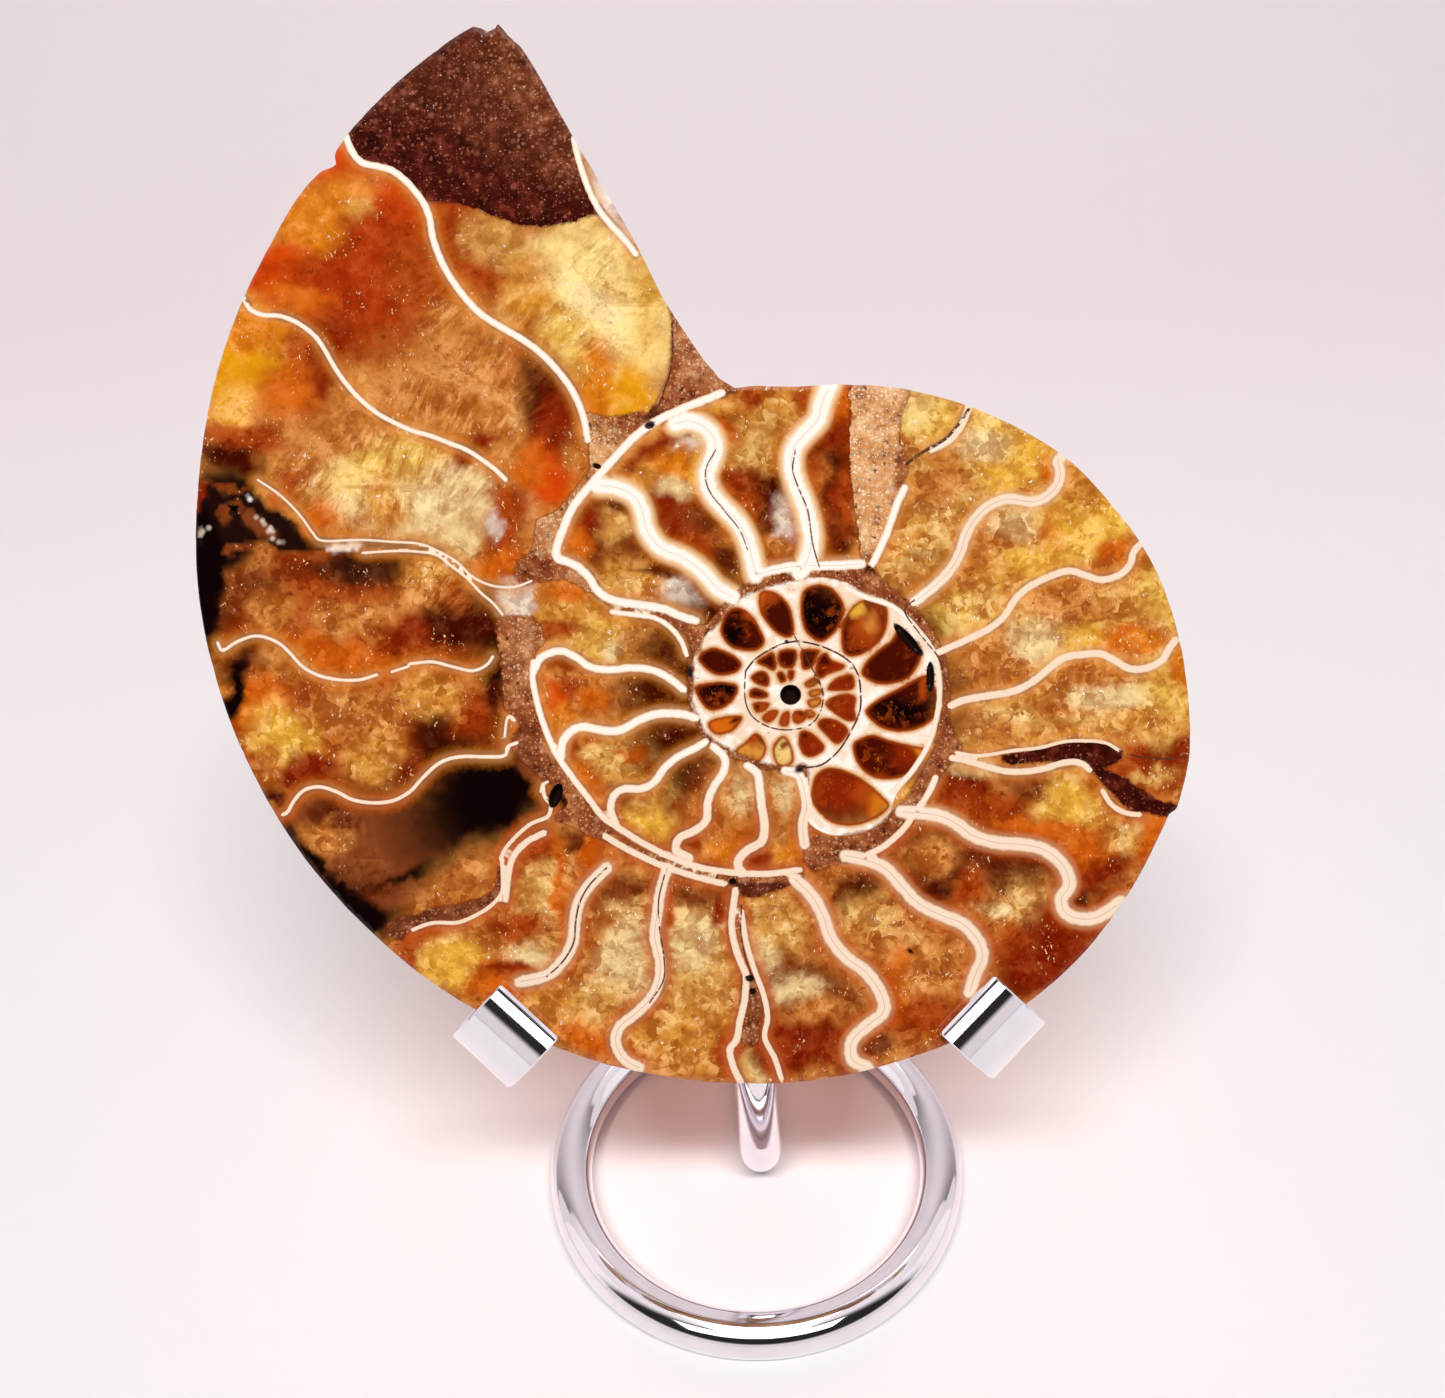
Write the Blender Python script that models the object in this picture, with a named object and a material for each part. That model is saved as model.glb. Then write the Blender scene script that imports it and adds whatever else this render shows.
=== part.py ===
"""Polished half of an ammonite fossil, leaning in a chrome ring stand.

Metres, +Z up. The viewer stands on the -Y side and looks along +Y.
The fossil is one piece. The stand is four: base ring, stem and two cradle arms.
The shapes are worked out in millimetres and scaled to metres as each mesh is made.
"""
import math

import bmesh
import bpy
from mathutils import Matrix, Vector
from mathutils.geometry import delaunay_2d_cdt

MM = 0.001
GAP = 0.3                   # room kept between two pieces that touch

# The stand, in millimetres
ROD_RADIUS = 3.0            # base ring and stem are bent from one 6 mm rod
RING_RADIUS = 27.0          # centre line of the base ring
RING_SIDES = 12             # flats round the rod, one of them on the table
RING_STEPS = 60
FLOOR_CLEARANCE = 0.1       # the stem's foot hangs just off the table
STRIP_WIDTH = 9.0
STRIP_THICKNESS = 1.0
ARM_ANGLE = math.radians(45.0)      # each arm from the middle line of the cradle
ARM_REACH = {"left": 34.4, "right": 35.75}      # from the fork to the edge of the lip
CRADLE_OFFSET = -1.25       # the hand-bent cradle stands a little left of the ring
HOOK_RADIUS = 6.6           # inside of the half-round hook
LIP_STRAIGHT = 2.2          # straight end of the lip past the hook
LIP_CLEARANCE = 1.05        # lip in front of the cut face
FORK_HEIGHT = -10.5         # fork of the arms, up the face from the coil's centre

# How the fossil leans
LEAN = math.radians(36.6)           # cut face from upright
STONE_TURN = math.radians(2.0)      # the fossil sits turned a little clockwise
COIL_CENTRE = Vector((5.3, 3.7, 84.85))     # centre of the coil on the cut face
SIDEWAYS = Vector((1.0, 0.0, 0.0))
FACE_UP = Vector((0.0, math.sin(LEAN), math.cos(LEAN)))
FACE_OUT = Vector((0.0, -math.cos(LEAN), math.sin(LEAN)))

# The stem's path: along the table from the ring, up, and back along the cradle
ARM_DEPTH = 2 * HOOK_RADIUS - LIP_CLEARANCE         # arm's front behind the cut face
STEM_DEPTH = ARM_DEPTH + STRIP_THICKNESS + GAP + ROD_RADIUS
STEM_FOOT = Vector((0.9, -3.6, ROD_RADIUS + FLOOR_CLEARANCE))
STEM_BEND = -14.0           # where the stem turns to lie along the arms
STEM_TOP = 2.0
FOOT_BEND_RADIUS = 7.0
COPE_GAP = 0.8              # the stem's end follows the ring at this distance
TOP_BEND_RADIUS = 14.0
STEM_SIDES = 14

# The coil of the fossil. Angles in degrees, counter-clockwise from the right.
WHORL_GROWTH = 2.37         # the coil grows this much wider in one turn
THICKNESS_GROWTH = 1.9
START_THICKNESS = 7.65      # flank where the last whorl begins
EDGE_THICKNESS = 0.8        # narrow outer keel
FLANK_ROUNDING = (2.2, 0.62)
UMBILICUS_RADIUS = 7.0      # shoulder of the hollow centre where the last whorl begins
UMBILICUS_SLOPE = 0.17      # share of that radius that the shoulder's wall takes
UMBILICUS_FLOOR = 3.4       # thickness left at the centre
APERTURE_WALL = 1.2         # width of the step where the last whorl ends
TURN_END = 462.4            # the last whorl starts under the aperture

# Radius of the outer rim at each angle, from the tip round to the aperture's foot
RIM = (
    (102.0, 84.8), (115.0, 84.7), (120.0, 83.9), (125.0, 82.7), (130.1, 81.0),
    (130.7, 79.9), (132.1, 80.5), (140.0, 78.5), (150.0, 75.5), (160.0, 72.1),
    (170.0, 68.85), (180.0, 65.2), (190.0, 61.6), (200.0, 58.2), (210.0, 55.0),
    (220.0, 52.3), (231.0, 49.5), (242.6, 47.4), (254.0, 45.7), (265.0, 44.7),
    (276.0, 44.1), (287.0, 43.75), (297.0, 43.9), (308.0, 44.5), (330.0, 44.9),
    (342.4, 45.4), (343.6, 46.1), (350.0, 46.2), (360.0, 45.5), (380.0, 44.1),
    (390.0, 42.8), (400.0, 41.7), (410.0, 40.1), (420.0, 38.6), (430.0, 37.3),
    (440.0, 36.1), (450.0, 35.3), (TURN_END, 35.9),
)
# Angle of the broken aperture edge at each radius
APERTURE = (
    (0.0, 102.4), (35.9, 102.4), (40.7, 105.1), (48.4, 107.9), (55.6, 109.0),
    (62.8, 110.3), (68.0, 111.2), (79.8, 112.5), (83.9, 113.5),
)
# Shallow chip along the tip's end, and the scooped chip along the aperture edge
TIP_CHIP = ((-35.4, 76.3), (-34.6, 75.9), (-33.8, 76.3), (-33.5, 76.9))
CHIP_EDGE = ((-24.9, 64.0), (-23.8, 60.4), (-22.6, 57.4), (-20.4, 54.4), (-18.0, 51.2))
CHIP_RADII = (51.5, 68.5)   # stretch of the aperture edge that the chip takes
CHIP_DEPTH = 1.3
# Open voids in the cut face: middle, half sizes, turn in degrees, depth
VOIDS = (
    ((0.0, 0.0), (1.1, 1.1), 0.0, 1.5),
    ((-27.3, -11.9), (1.1, 0.7), 60.0, 1.6),
    ((15.9, 1.8), (0.45, 1.9), 0.0, 1.0),
    ((13.9, 6.9), (1.7, 0.5), -45.0, 1.0),
)
VOID_SIDES = 10
VOID_NARROWING = 0.7

# Where the points of the stone's mesh lie
RIM_FIRST = 457.4           # first rim point past the aperture's foot
RIM_LAST = 115.0            # last one, at the tip
RIM_CORNERS = (130.1, 130.7, 132.1, 342.4, 343.6)
APERTURE_RADII = (82.0, 79.2, 76.0, 72.0, 68.5, 65.5, 62.0, 58.0, 54.0, 51.5, 48.4,
                  44.0, 40.7, 37.6, 36.4)
APERTURE_FOOT = (35.7, 100.2)
FLANK_ROWS = (0.0, 0.08, 0.18, 0.3, 0.42, 0.54, 0.66, 0.76, 0.85, 0.92, 0.965)
FLANK_STEP = 3.0            # degrees between two rows of points across the flank
HOLLOW_ROWS = (0.83, 0.68, 0.52, 0.42, 0.35, 0.2)
HOLLOW_STEP = 9.0
WALL_FIRST = 8.0            # the aperture's step, from the hollow out to the rim
WALL_STEP = 2.4
WALL_ROWS = 12
WALL_ROOM = 0.6             # other points keep this far off the step
POINT_ROOM = 0.55           # and this far off the outline and each other


def new_object(name, mesh, colour, roughness, metallic):
    """Put a finished mesh in the scene as one named piece with its own material."""
    material = bpy.data.materials.new(name)
    material.use_nodes = True
    shader = material.node_tree.nodes["Principled BSDF"]
    shader.inputs["Base Color"].default_value = (*colour, 1.0)
    shader.inputs["Roughness"].default_value = roughness
    shader.inputs["Metallic"].default_value = metallic
    mesh.materials.append(material)
    mesh.shade_smooth()
    mesh.set_sharp_from_angle(angle=math.radians(35.0))
    piece = bpy.data.objects.new(name, mesh)
    bpy.context.collection.objects.link(piece)
    return piece


def mesh_from(name, work):
    """Turn a bmesh in millimetres into a mesh in metres whose faces point outwards."""
    bmesh.ops.recalc_face_normals(work, faces=work.faces)
    bmesh.ops.scale(work, vec=(MM, MM, MM), verts=work.verts)
    mesh = bpy.data.meshes.new(name)
    work.to_mesh(mesh)
    work.free()
    return mesh


def on_curve(knots, x):
    """Read a smooth curve that runs through the knots and never overshoots them."""
    if x <= knots[0][0]:
        return knots[0][1]
    if x >= knots[-1][0]:
        return knots[-1][1]
    i = max(k for k in range(len(knots) - 1) if knots[k][0] <= x)

    def rise(k):
        return (knots[k + 1][1] - knots[k][1]) / (knots[k + 1][0] - knots[k][0])

    def slope(k):
        if k == 0 or k == len(knots) - 1:
            return 0.0
        before, after = rise(k - 1), rise(k)
        return 0.0 if before * after <= 0 else 2 * before * after / (before + after)

    width = knots[i + 1][0] - knots[i][0]
    f = (x - knots[i][0]) / width
    start, end = knots[i][1], knots[i + 1][1]
    bend = slope(i) * width
    other = slope(i + 1) * width
    return (start * (2 * f**3 - 3 * f**2 + 1) + bend * (f**3 - 2 * f**2 + f)
            + end * (3 * f**2 - 2 * f**3) + other * (f**3 - f**2))


def smooth_step(x):
    """Ease from 0 to 1."""
    x = min(max(x, 0.0), 1.0)
    return x * x * (3 - 2 * x)


def polar(radius, degrees):
    """Point on the cut face."""
    angle = math.radians(degrees)
    return (radius * math.cos(angle), radius * math.sin(angle))


def rim_radius(angle):
    """Radius of the outer rim. Past the start of the last whorl it is one turn smaller."""
    if angle > TURN_END:
        return on_curve(RIM, angle - 360.0) / WHORL_GROWTH
    return on_curve(RIM, angle)


def shoulder_radius(turned):
    """Radius of the umbilical shoulder after so many degrees of the last whorl."""
    return UMBILICUS_RADIUS * WHORL_GROWTH ** (turned / 360.0)


def flank(radius, turned, angle):
    """Thickness of a whorl's flank, from its shoulder out to its keel."""
    shoulder = shoulder_radius(turned)
    share = (radius - shoulder) / (rim_radius(angle) - shoulder)
    share = min(max(share, 0.0), 1.0)
    full = START_THICKNESS * THICKNESS_GROWTH ** (turned / 360.0)
    power, rounding = FLANK_ROUNDING
    return EDGE_THICKNESS + (full - EDGE_THICKNESS) * (1 - share**power) ** rounding


def whorl_thickness(radius, turned, angle):
    """Thickness with the last whorl's shoulder dropping to the whorl inside it."""
    shoulder = shoulder_radius(turned)
    outer = flank(radius, turned, angle)
    if radius >= shoulder:
        return outer
    inner_shoulder = shoulder / WHORL_GROWTH
    inner = flank(radius, turned - 360.0, angle + 360.0)
    if radius < inner_shoulder:
        fall = (inner_shoulder - radius) / (UMBILICUS_SLOPE * inner_shoulder)
        inner += (UMBILICUS_FLOOR - inner) * smooth_step(fall)
    inner = max(inner, UMBILICUS_FLOOR)
    fall = (shoulder - radius) / (UMBILICUS_SLOPE * shoulder)
    return outer + (inner - outer) * smooth_step(fall)


def stone_thickness(u, v):
    """Thickness of the half behind a point of its cut face."""
    radius = math.hypot(u, v)
    base = on_curve(APERTURE, radius)
    turned = (base - math.degrees(math.atan2(v, u))) % 360.0
    thickness = whorl_thickness(radius, turned, base + 360.0 - turned)
    past_wall = radius * math.radians(turned) / APERTURE_WALL
    if past_wall < 1.0:
        last = whorl_thickness(radius, 360.0, base)
        thickness = last + (thickness - last) * smooth_step(past_wall)
    return thickness


def stone_outline():
    """Outline of the cut face: the rim, the tip, and the aperture edge."""
    steps = int((RIM_FIRST - RIM_LAST) / FLANK_STEP) + 1
    angles = [RIM_FIRST - FLANK_STEP * k for k in range(steps)] + list(RIM_CORNERS)
    points = [polar(rim_radius(a), a) for a in sorted(angles, reverse=True)]
    points += TIP_CHIP
    points += [polar(r, on_curve(APERTURE, r)) for r in APERTURE_RADII]
    points.append(polar(*APERTURE_FOOT))
    return points


def in_chip(point):
    """Whether a point of the outline lies on the scooped chip."""
    radius = math.hypot(*point)
    on_aperture = abs(math.degrees(math.atan2(point[1], point[0]))
                      - on_curve(APERTURE, radius)) < 0.5
    return on_aperture and CHIP_RADII[0] < radius < CHIP_RADII[1]


def back_points():
    """Points on the back, in rows that follow the whorl and its hollow centre."""
    points = []
    for k in range(WALL_ROWS):
        radius = WALL_FIRST + WALL_STEP * k
        points.append(polar(radius, TURN_END))
        points.append(polar(radius, TURN_END - math.degrees(APERTURE_WALL / radius)))
    for k in range(int(360.0 / FLANK_STEP)):
        turned = FLANK_STEP * (k + 0.5)
        shoulder = shoulder_radius(turned)
        for share in FLANK_ROWS:
            radius = shoulder
            for _ in range(3):
                angle = on_curve(APERTURE, radius) + 360.0 - turned
                radius = shoulder + share * (rim_radius(angle) - shoulder)
            past_wall = radius * math.radians(turned) - APERTURE_WALL
            before_wall = radius * math.radians(360.0 - turned)
            if min(past_wall, before_wall) > WALL_ROOM:
                points.append(polar(radius, angle))
    for k in range(int(360.0 / HOLLOW_STEP)):
        turned = HOLLOW_STEP * (k + 0.5)
        for share in HOLLOW_ROWS:
            points.append(polar(shoulder_radius(turned) * share, TURN_END - turned))
    return points


def spaced(points, kept, least):
    """Leave out points that fall closer than the least distance to one already there."""
    kept = list(kept)
    chosen = []
    for u, v in points:
        if all(math.hypot(u - a, v - b) >= least for a, b in kept):
            kept.append((u, v))
            chosen.append((u, v))
    return chosen


def inside(point, outline):
    """Whether a point lies within the outline."""
    u, v = point
    crossings = 0
    for (u1, v1), (u2, v2) in zip(outline, outline[1:] + outline[:1]):
        if (v1 > v) != (v2 > v) and u < u1 + (v - v1) * (u2 - u1) / (v2 - v1):
            crossings += 1
    return crossings % 2 == 1


def void_rings():
    """Rim and floor of each open void, as rings of points on the cut face."""
    rings = []
    for (u, v), (half_u, half_v), turn, depth in VOIDS:
        for share, level in ((1.0, 0.0), (VOID_NARROWING, -depth)):
            ring = []
            for k in range(VOID_SIDES):
                angle = 2 * math.pi * k / VOID_SIDES
                spot = Vector((half_u * share * math.cos(angle),
                               half_v * share * math.sin(angle)))
                spot.rotate(Matrix.Rotation(math.radians(turn), 2))
                ring.append((u + spot.x, v + spot.y))
            rings.append((ring, level))
    return rings


def add_skin(work, border, extra, levels, loops):
    """Fill the outline with triangles that use the extra points, and add them."""
    flat = [Vector(p) for p in border_points(border)] + [Vector(p) for p in extra]
    edges = [(loop[k], loop[(k + 1) % len(loop)]) for loop in loops for k in range(len(loop))]
    count = len(border)
    found = delaunay_2d_cdt(flat, edges, [list(range(count))], 1, 1e-5)
    verts, faces, origins = found[0], found[2], found[3]
    made = []
    for k, spot in enumerate(verts):
        source = origins[k][0]
        if source < count:
            made.append(border[source])
        else:
            made.append(work.verts.new((spot.x, spot.y, levels[source - count])))
    for face in faces:
        work.faces.new([made[k] for k in face])


def border_points(border):
    """Flat positions of the border's vertices."""
    return [(vert.co.x, vert.co.y) for vert in border]


def build_stone():
    """Flat cut face in front, coiled flank with its hollow centre behind."""
    work = bmesh.new()
    outline = stone_outline()
    front = []
    back = []
    for point in outline:
        level = -CHIP_DEPTH if in_chip(point) else 0.0
        front.append(work.verts.new((*point, level)))
        back.append(work.verts.new((*point, -stone_thickness(*point))))
    for k in range(len(outline)):
        after = (k + 1) % len(outline)
        work.faces.new((front[k], front[after], back[after], back[k]))

    extra = list(CHIP_EDGE)
    levels = [0.0] * len(CHIP_EDGE)
    loops = []
    for ring, level in void_rings():
        first = len(outline) + len(extra)
        loops.append(list(range(first, first + len(ring))))
        extra += ring
        levels += [level] * len(ring)
    add_skin(work, front, extra, levels, loops)

    rows = [p for p in back_points() if inside(p, outline)]
    rows = spaced(rows, outline, POINT_ROOM)
    add_skin(work, back, rows, [-stone_thickness(*p) for p in rows], [])
    bmesh.ops.triangulate(work, faces=work.faces)
    mesh = mesh_from("ammonite_half", work)
    stone = new_object("ammonite_half", mesh, (0.50, 0.22, 0.06), 0.15, 0.0)
    across = SIDEWAYS * math.cos(STONE_TURN) - FACE_UP * math.sin(STONE_TURN)
    up = FACE_UP * math.cos(STONE_TURN) + SIDEWAYS * math.sin(STONE_TURN)
    turn = Matrix((across, up, FACE_OUT)).transposed()
    stone.matrix_world = Matrix.Translation(COIL_CENTRE * MM) @ turn.to_4x4()
    return stone


def build_ring():
    """Base ring of round rod, with one flat of its section on the table."""
    work = bmesh.new()
    corner_radius = ROD_RADIUS / math.cos(math.pi / RING_SIDES)
    section = []
    for k in range(RING_SIDES):
        angle = 2 * math.pi * (k + 0.5) / RING_SIDES
        section.append(work.verts.new((RING_RADIUS + corner_radius * math.cos(angle), 0.0,
                                       ROD_RADIUS + corner_radius * math.sin(angle))))
    edges = [work.edges.new((section[k], section[(k + 1) % RING_SIDES]))
             for k in range(RING_SIDES)]
    bmesh.ops.spin(work, geom=section + edges, axis=(0, 0, 1), cent=(0, 0, 0),
                   steps=RING_STEPS, angle=2 * math.pi, use_merge=True)
    return new_object("base_ring", mesh_from("base_ring", work), (0.8, 0.8, 0.82), 0.08, 1.0)


def rounded_path(corners, radii, steps):
    """Straight runs between the corners, with each inner corner rounded to its radius."""
    path = [corners[0]]
    for before, corner, after, radius in zip(corners, corners[1:], corners[2:], radii):
        come = (corner - before).normalized()
        leave = (after - corner).normalized()
        turn = come.angle(leave)
        back = radius * math.tan(turn / 2)
        inward = (leave - come).normalized()
        centre = corner + inward * radius / math.cos(turn / 2)
        spoke = corner - come * back - centre
        axis = come.cross(leave)
        for k in range(steps + 1):
            path.append(centre + Matrix.Rotation(turn * k / steps, 3, axis) @ spoke)
    path.append(corners[-1])
    return path


def build_stem():
    """Rod from the back of the ring along the table, up, and back behind the arms."""
    back_rest = -FACE_OUT * STEM_DEPTH + Vector((CRADLE_OFFSET, COIL_CENTRE.y, COIL_CENTRE.z))
    inner_side = RING_RADIUS - ROD_RADIUS - COPE_GAP
    corners = [Vector((0.0, inner_side, STEM_FOOT.z)), STEM_FOOT,
               back_rest + FACE_UP * STEM_BEND, back_rest + FACE_UP * STEM_TOP]
    path = rounded_path(corners, (FOOT_BEND_RADIUS, TOP_BEND_RADIUS), 9)
    work = bmesh.new()
    rings = []
    side = Vector((1.0, 0.0, 0.0))
    for k, spot in enumerate(path):
        ahead = (path[min(k + 1, len(path) - 1)] - path[max(k - 1, 0)]).normalized()
        side = (side - ahead * side.dot(ahead)).normalized()
        other = ahead.cross(side)
        ring = []
        for j in range(STEM_SIDES):
            angle = 2 * math.pi * j / STEM_SIDES
            ring.append(spot + ROD_RADIUS * (side * math.cos(angle) + other * math.sin(angle)))
        rings.append(ring)
    rings[0] = [against_ring(p) for p in rings[0]]
    made = [[work.verts.new(p) for p in ring] for ring in rings]
    for near, far in zip(made, made[1:]):
        for j in range(STEM_SIDES):
            after = (j + 1) % STEM_SIDES
            work.faces.new((near[j], near[after], far[after], far[j]))
    foot = work.verts.new(against_ring(path[0]))
    for j in range(STEM_SIDES):
        work.faces.new((made[0][j], made[0][(j + 1) % STEM_SIDES], foot))
    work.faces.new(made[-1])
    return new_object("stem", mesh_from("stem", work), (0.8, 0.8, 0.82), 0.08, 1.0)


def against_ring(spot):
    """Slide a point of the stem's end along Y until it stands a gap off the ring."""
    reach = ROD_RADIUS + COPE_GAP
    height = min(abs(spot.z - ROD_RADIUS), reach)
    across = RING_RADIUS - math.sqrt(reach**2 - height**2)
    return Vector((spot.x, math.sqrt(across**2 - spot.x**2), spot.z))


def arm_section(reach):
    """Side view of one arm: (along the arm, out of the face) round the bent strip."""
    bend = reach + LIP_STRAIGHT
    centre = -ARM_DEPTH + HOOK_RADIUS
    inner = [(-2 * STRIP_WIDTH, -ARM_DEPTH)]
    outer = [(-2 * STRIP_WIDTH, -ARM_DEPTH - STRIP_THICKNESS)]
    steps = 12
    for k in range(steps + 1):
        angle = math.pi * k / steps - math.pi / 2
        for line, radius in ((inner, HOOK_RADIUS), (outer, HOOK_RADIUS + STRIP_THICKNESS)):
            line.append((bend + radius * math.cos(angle), centre + radius * math.sin(angle)))
    inner.append((reach, LIP_CLEARANCE))
    outer.append((reach, LIP_CLEARANCE + STRIP_THICKNESS))
    return inner + outer[::-1]


def build_arm(side):
    """Flat strip behind the fossil, bent round its rim into a hook with a short lip."""
    sign = -1.0 if side == "left" else 1.0
    along = SIDEWAYS * sign * math.sin(ARM_ANGLE) - FACE_UP * math.cos(ARM_ANGLE)
    across = along.cross(FACE_OUT)
    fork = (Vector((CRADLE_OFFSET, COIL_CENTRE.y, COIL_CENTRE.z)) + FACE_UP * FORK_HEIGHT)
    work = bmesh.new()
    outline = [work.verts.new(fork + along * a + FACE_OUT * n - across * STRIP_WIDTH / 2)
               for a, n in arm_section(ARM_REACH[side])]
    sheet = work.faces.new(outline)
    grown = bmesh.ops.extrude_face_region(work, geom=[sheet])
    moved = [item for item in grown["geom"] if isinstance(item, bmesh.types.BMVert)]
    bmesh.ops.translate(work, verts=moved, vec=across * STRIP_WIDTH)
    cut = bmesh.ops.bisect_plane(
        work, geom=work.verts[:] + work.edges[:] + work.faces[:], clear_inner=True,
        plane_co=fork + SIDEWAYS * sign * GAP / 2, plane_no=SIDEWAYS * sign)
    rim = [item for item in cut["geom_cut"] if isinstance(item, bmesh.types.BMEdge)]
    bmesh.ops.holes_fill(work, edges=rim)
    bmesh.ops.triangulate(work, faces=work.faces)
    name = f"cradle_arm_{side}"
    return new_object(name, mesh_from(name, work), (0.8, 0.8, 0.82), 0.08, 1.0)


def stand_on_origin(pieces):
    """Move every piece so that the middle of the whole box's underside is the origin."""
    bpy.context.view_layer.update()
    corners = [piece.matrix_world @ vert.co for piece in pieces for vert in piece.data.vertices]
    low = Vector([min(corner[k] for corner in corners) for k in range(3)])
    high = Vector([max(corner[k] for corner in corners) for k in range(3)])
    middle = (low + high) / 2
    shift = Matrix.Translation((-middle.x, -middle.y, -low.z))
    for piece in pieces:
        piece.matrix_world = shift @ piece.matrix_world


def main():
    for old in list(bpy.data.objects):
        bpy.data.objects.remove(old, do_unlink=True)
    pieces = [build_stone(), build_ring(), build_stem(), build_arm("left"), build_arm("right")]
    stand_on_origin(pieces)


main()
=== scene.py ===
"""Looks of a polished ammonite half in its chrome ring stand.

The cut face is laid out from the photograph: its septa, whorl walls, chambers, sediment
and colour patches are named lines and spots in photograph pixels, turned into millimetres on the
face. Each point of the fine mesh carries its distance to them, and the material paints from that.
"""
import math
from types import SimpleNamespace

import bmesh
import bpy
import numpy as np
from mathutils import Matrix, Vector, noise
from mathutils.geometry import delaunay_2d_cdt


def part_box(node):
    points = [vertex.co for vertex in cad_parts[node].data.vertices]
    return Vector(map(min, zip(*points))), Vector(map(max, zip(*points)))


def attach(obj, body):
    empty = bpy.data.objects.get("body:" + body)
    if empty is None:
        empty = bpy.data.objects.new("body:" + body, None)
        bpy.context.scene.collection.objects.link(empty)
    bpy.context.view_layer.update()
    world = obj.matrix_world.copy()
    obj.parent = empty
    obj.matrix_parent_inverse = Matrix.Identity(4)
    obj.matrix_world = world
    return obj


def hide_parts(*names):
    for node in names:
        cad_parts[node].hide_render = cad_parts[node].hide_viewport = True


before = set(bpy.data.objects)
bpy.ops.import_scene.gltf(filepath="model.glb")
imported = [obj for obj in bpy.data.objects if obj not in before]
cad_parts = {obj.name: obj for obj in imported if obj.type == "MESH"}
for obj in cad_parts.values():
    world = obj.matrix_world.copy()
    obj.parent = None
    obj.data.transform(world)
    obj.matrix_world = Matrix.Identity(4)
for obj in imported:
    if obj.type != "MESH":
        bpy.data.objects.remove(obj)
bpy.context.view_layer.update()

MM = 0.001
NOISE_SEED = 7
noise.seed_set(NOISE_SEED)

# Sizes that the solids have too, in millimetres
ROD_RADIUS = 3.0
RING_RADIUS = 27.0
FLOOR_CLEARANCE = 0.1
STRIP_WIDTH = 9.0
STRIP_THICKNESS = 1.0
ARM_ANGLE = math.radians(45.0)
ARM_REACH = {"left": 34.4, "right": 35.75}
CRADLE_OFFSET = -1.25
HOOK_RADIUS = 6.6
LIP_STRAIGHT = 2.2
LIP_CLEARANCE = 1.05
FORK_HEIGHT = -10.5
FORK_GAP = 0.3
LEAN = math.radians(36.6)
STONE_TURN = math.radians(2.0)
STEM_BEND = -14.0
STEM_TOP = 2.0
FOOT_BEND_RADIUS = 7.0
TOP_BEND_RADIUS = 14.0
SIDEWAYS = Vector((1.0, 0.0, 0.0))
FACE_UP = Vector((0.0, math.sin(LEAN), math.cos(LEAN)))
FACE_OUT = Vector((0.0, -math.cos(LEAN), math.sin(LEAN)))
ARM_DEPTH = 2 * HOOK_RADIUS - LIP_CLEARANCE
STEM_DEPTH = ARM_DEPTH + STRIP_THICKNESS + FORK_GAP + ROD_RADIUS

# Sizes of the stand's looks alone, in millimetres
LIP_DIP = 0.55              # the lip's edge turns in towards the stone
LIP_INSET = 0.25            # the lip's end is drawn in, which softens its edge
LIP_END_THICKNESS = 0.55    # share of the strip's thickness at the lip's end
STRIP_BEVEL = 0.18
FORK_CUT = 0.02
WELD = ((0.0, 1.5), (0.5, 1.15), (1.1, 0.6), (1.8, 0.22), (2.6, 0.0))  # place along, swelling
WELD_SINK = 0.6             # the weld starts inside the ring's rod
ROD_END = ((0.5, 0.0), (0.2, -0.12), (0.0, -0.5))  # distance from the end, change of radius
ROD_SIDES = 40
RING_STEPS = 240
BEND_STEPS = 26
HOOK_STEPS = 40

# The stand's own zero is the middle of the base ring, on the table
ring_low, ring_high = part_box("base_ring")
RING_MIDDLE = Vector(((ring_low.x + ring_high.x) / 2, (ring_low.y + ring_high.y) / 2, 0.0)) / MM
COIL_CENTRE = RING_MIDDLE + Vector((5.3, 3.7, 84.85))
STEM_FOOT = RING_MIDDLE + Vector((0.9, -3.6, ROD_RADIUS + FLOOR_CLEARANCE))
FACE_ACROSS = SIDEWAYS * math.cos(STONE_TURN) - FACE_UP * math.sin(STONE_TURN)
FACE_RISE = FACE_UP * math.cos(STONE_TURN) + SIDEWAYS * math.sin(STONE_TURN)

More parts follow.
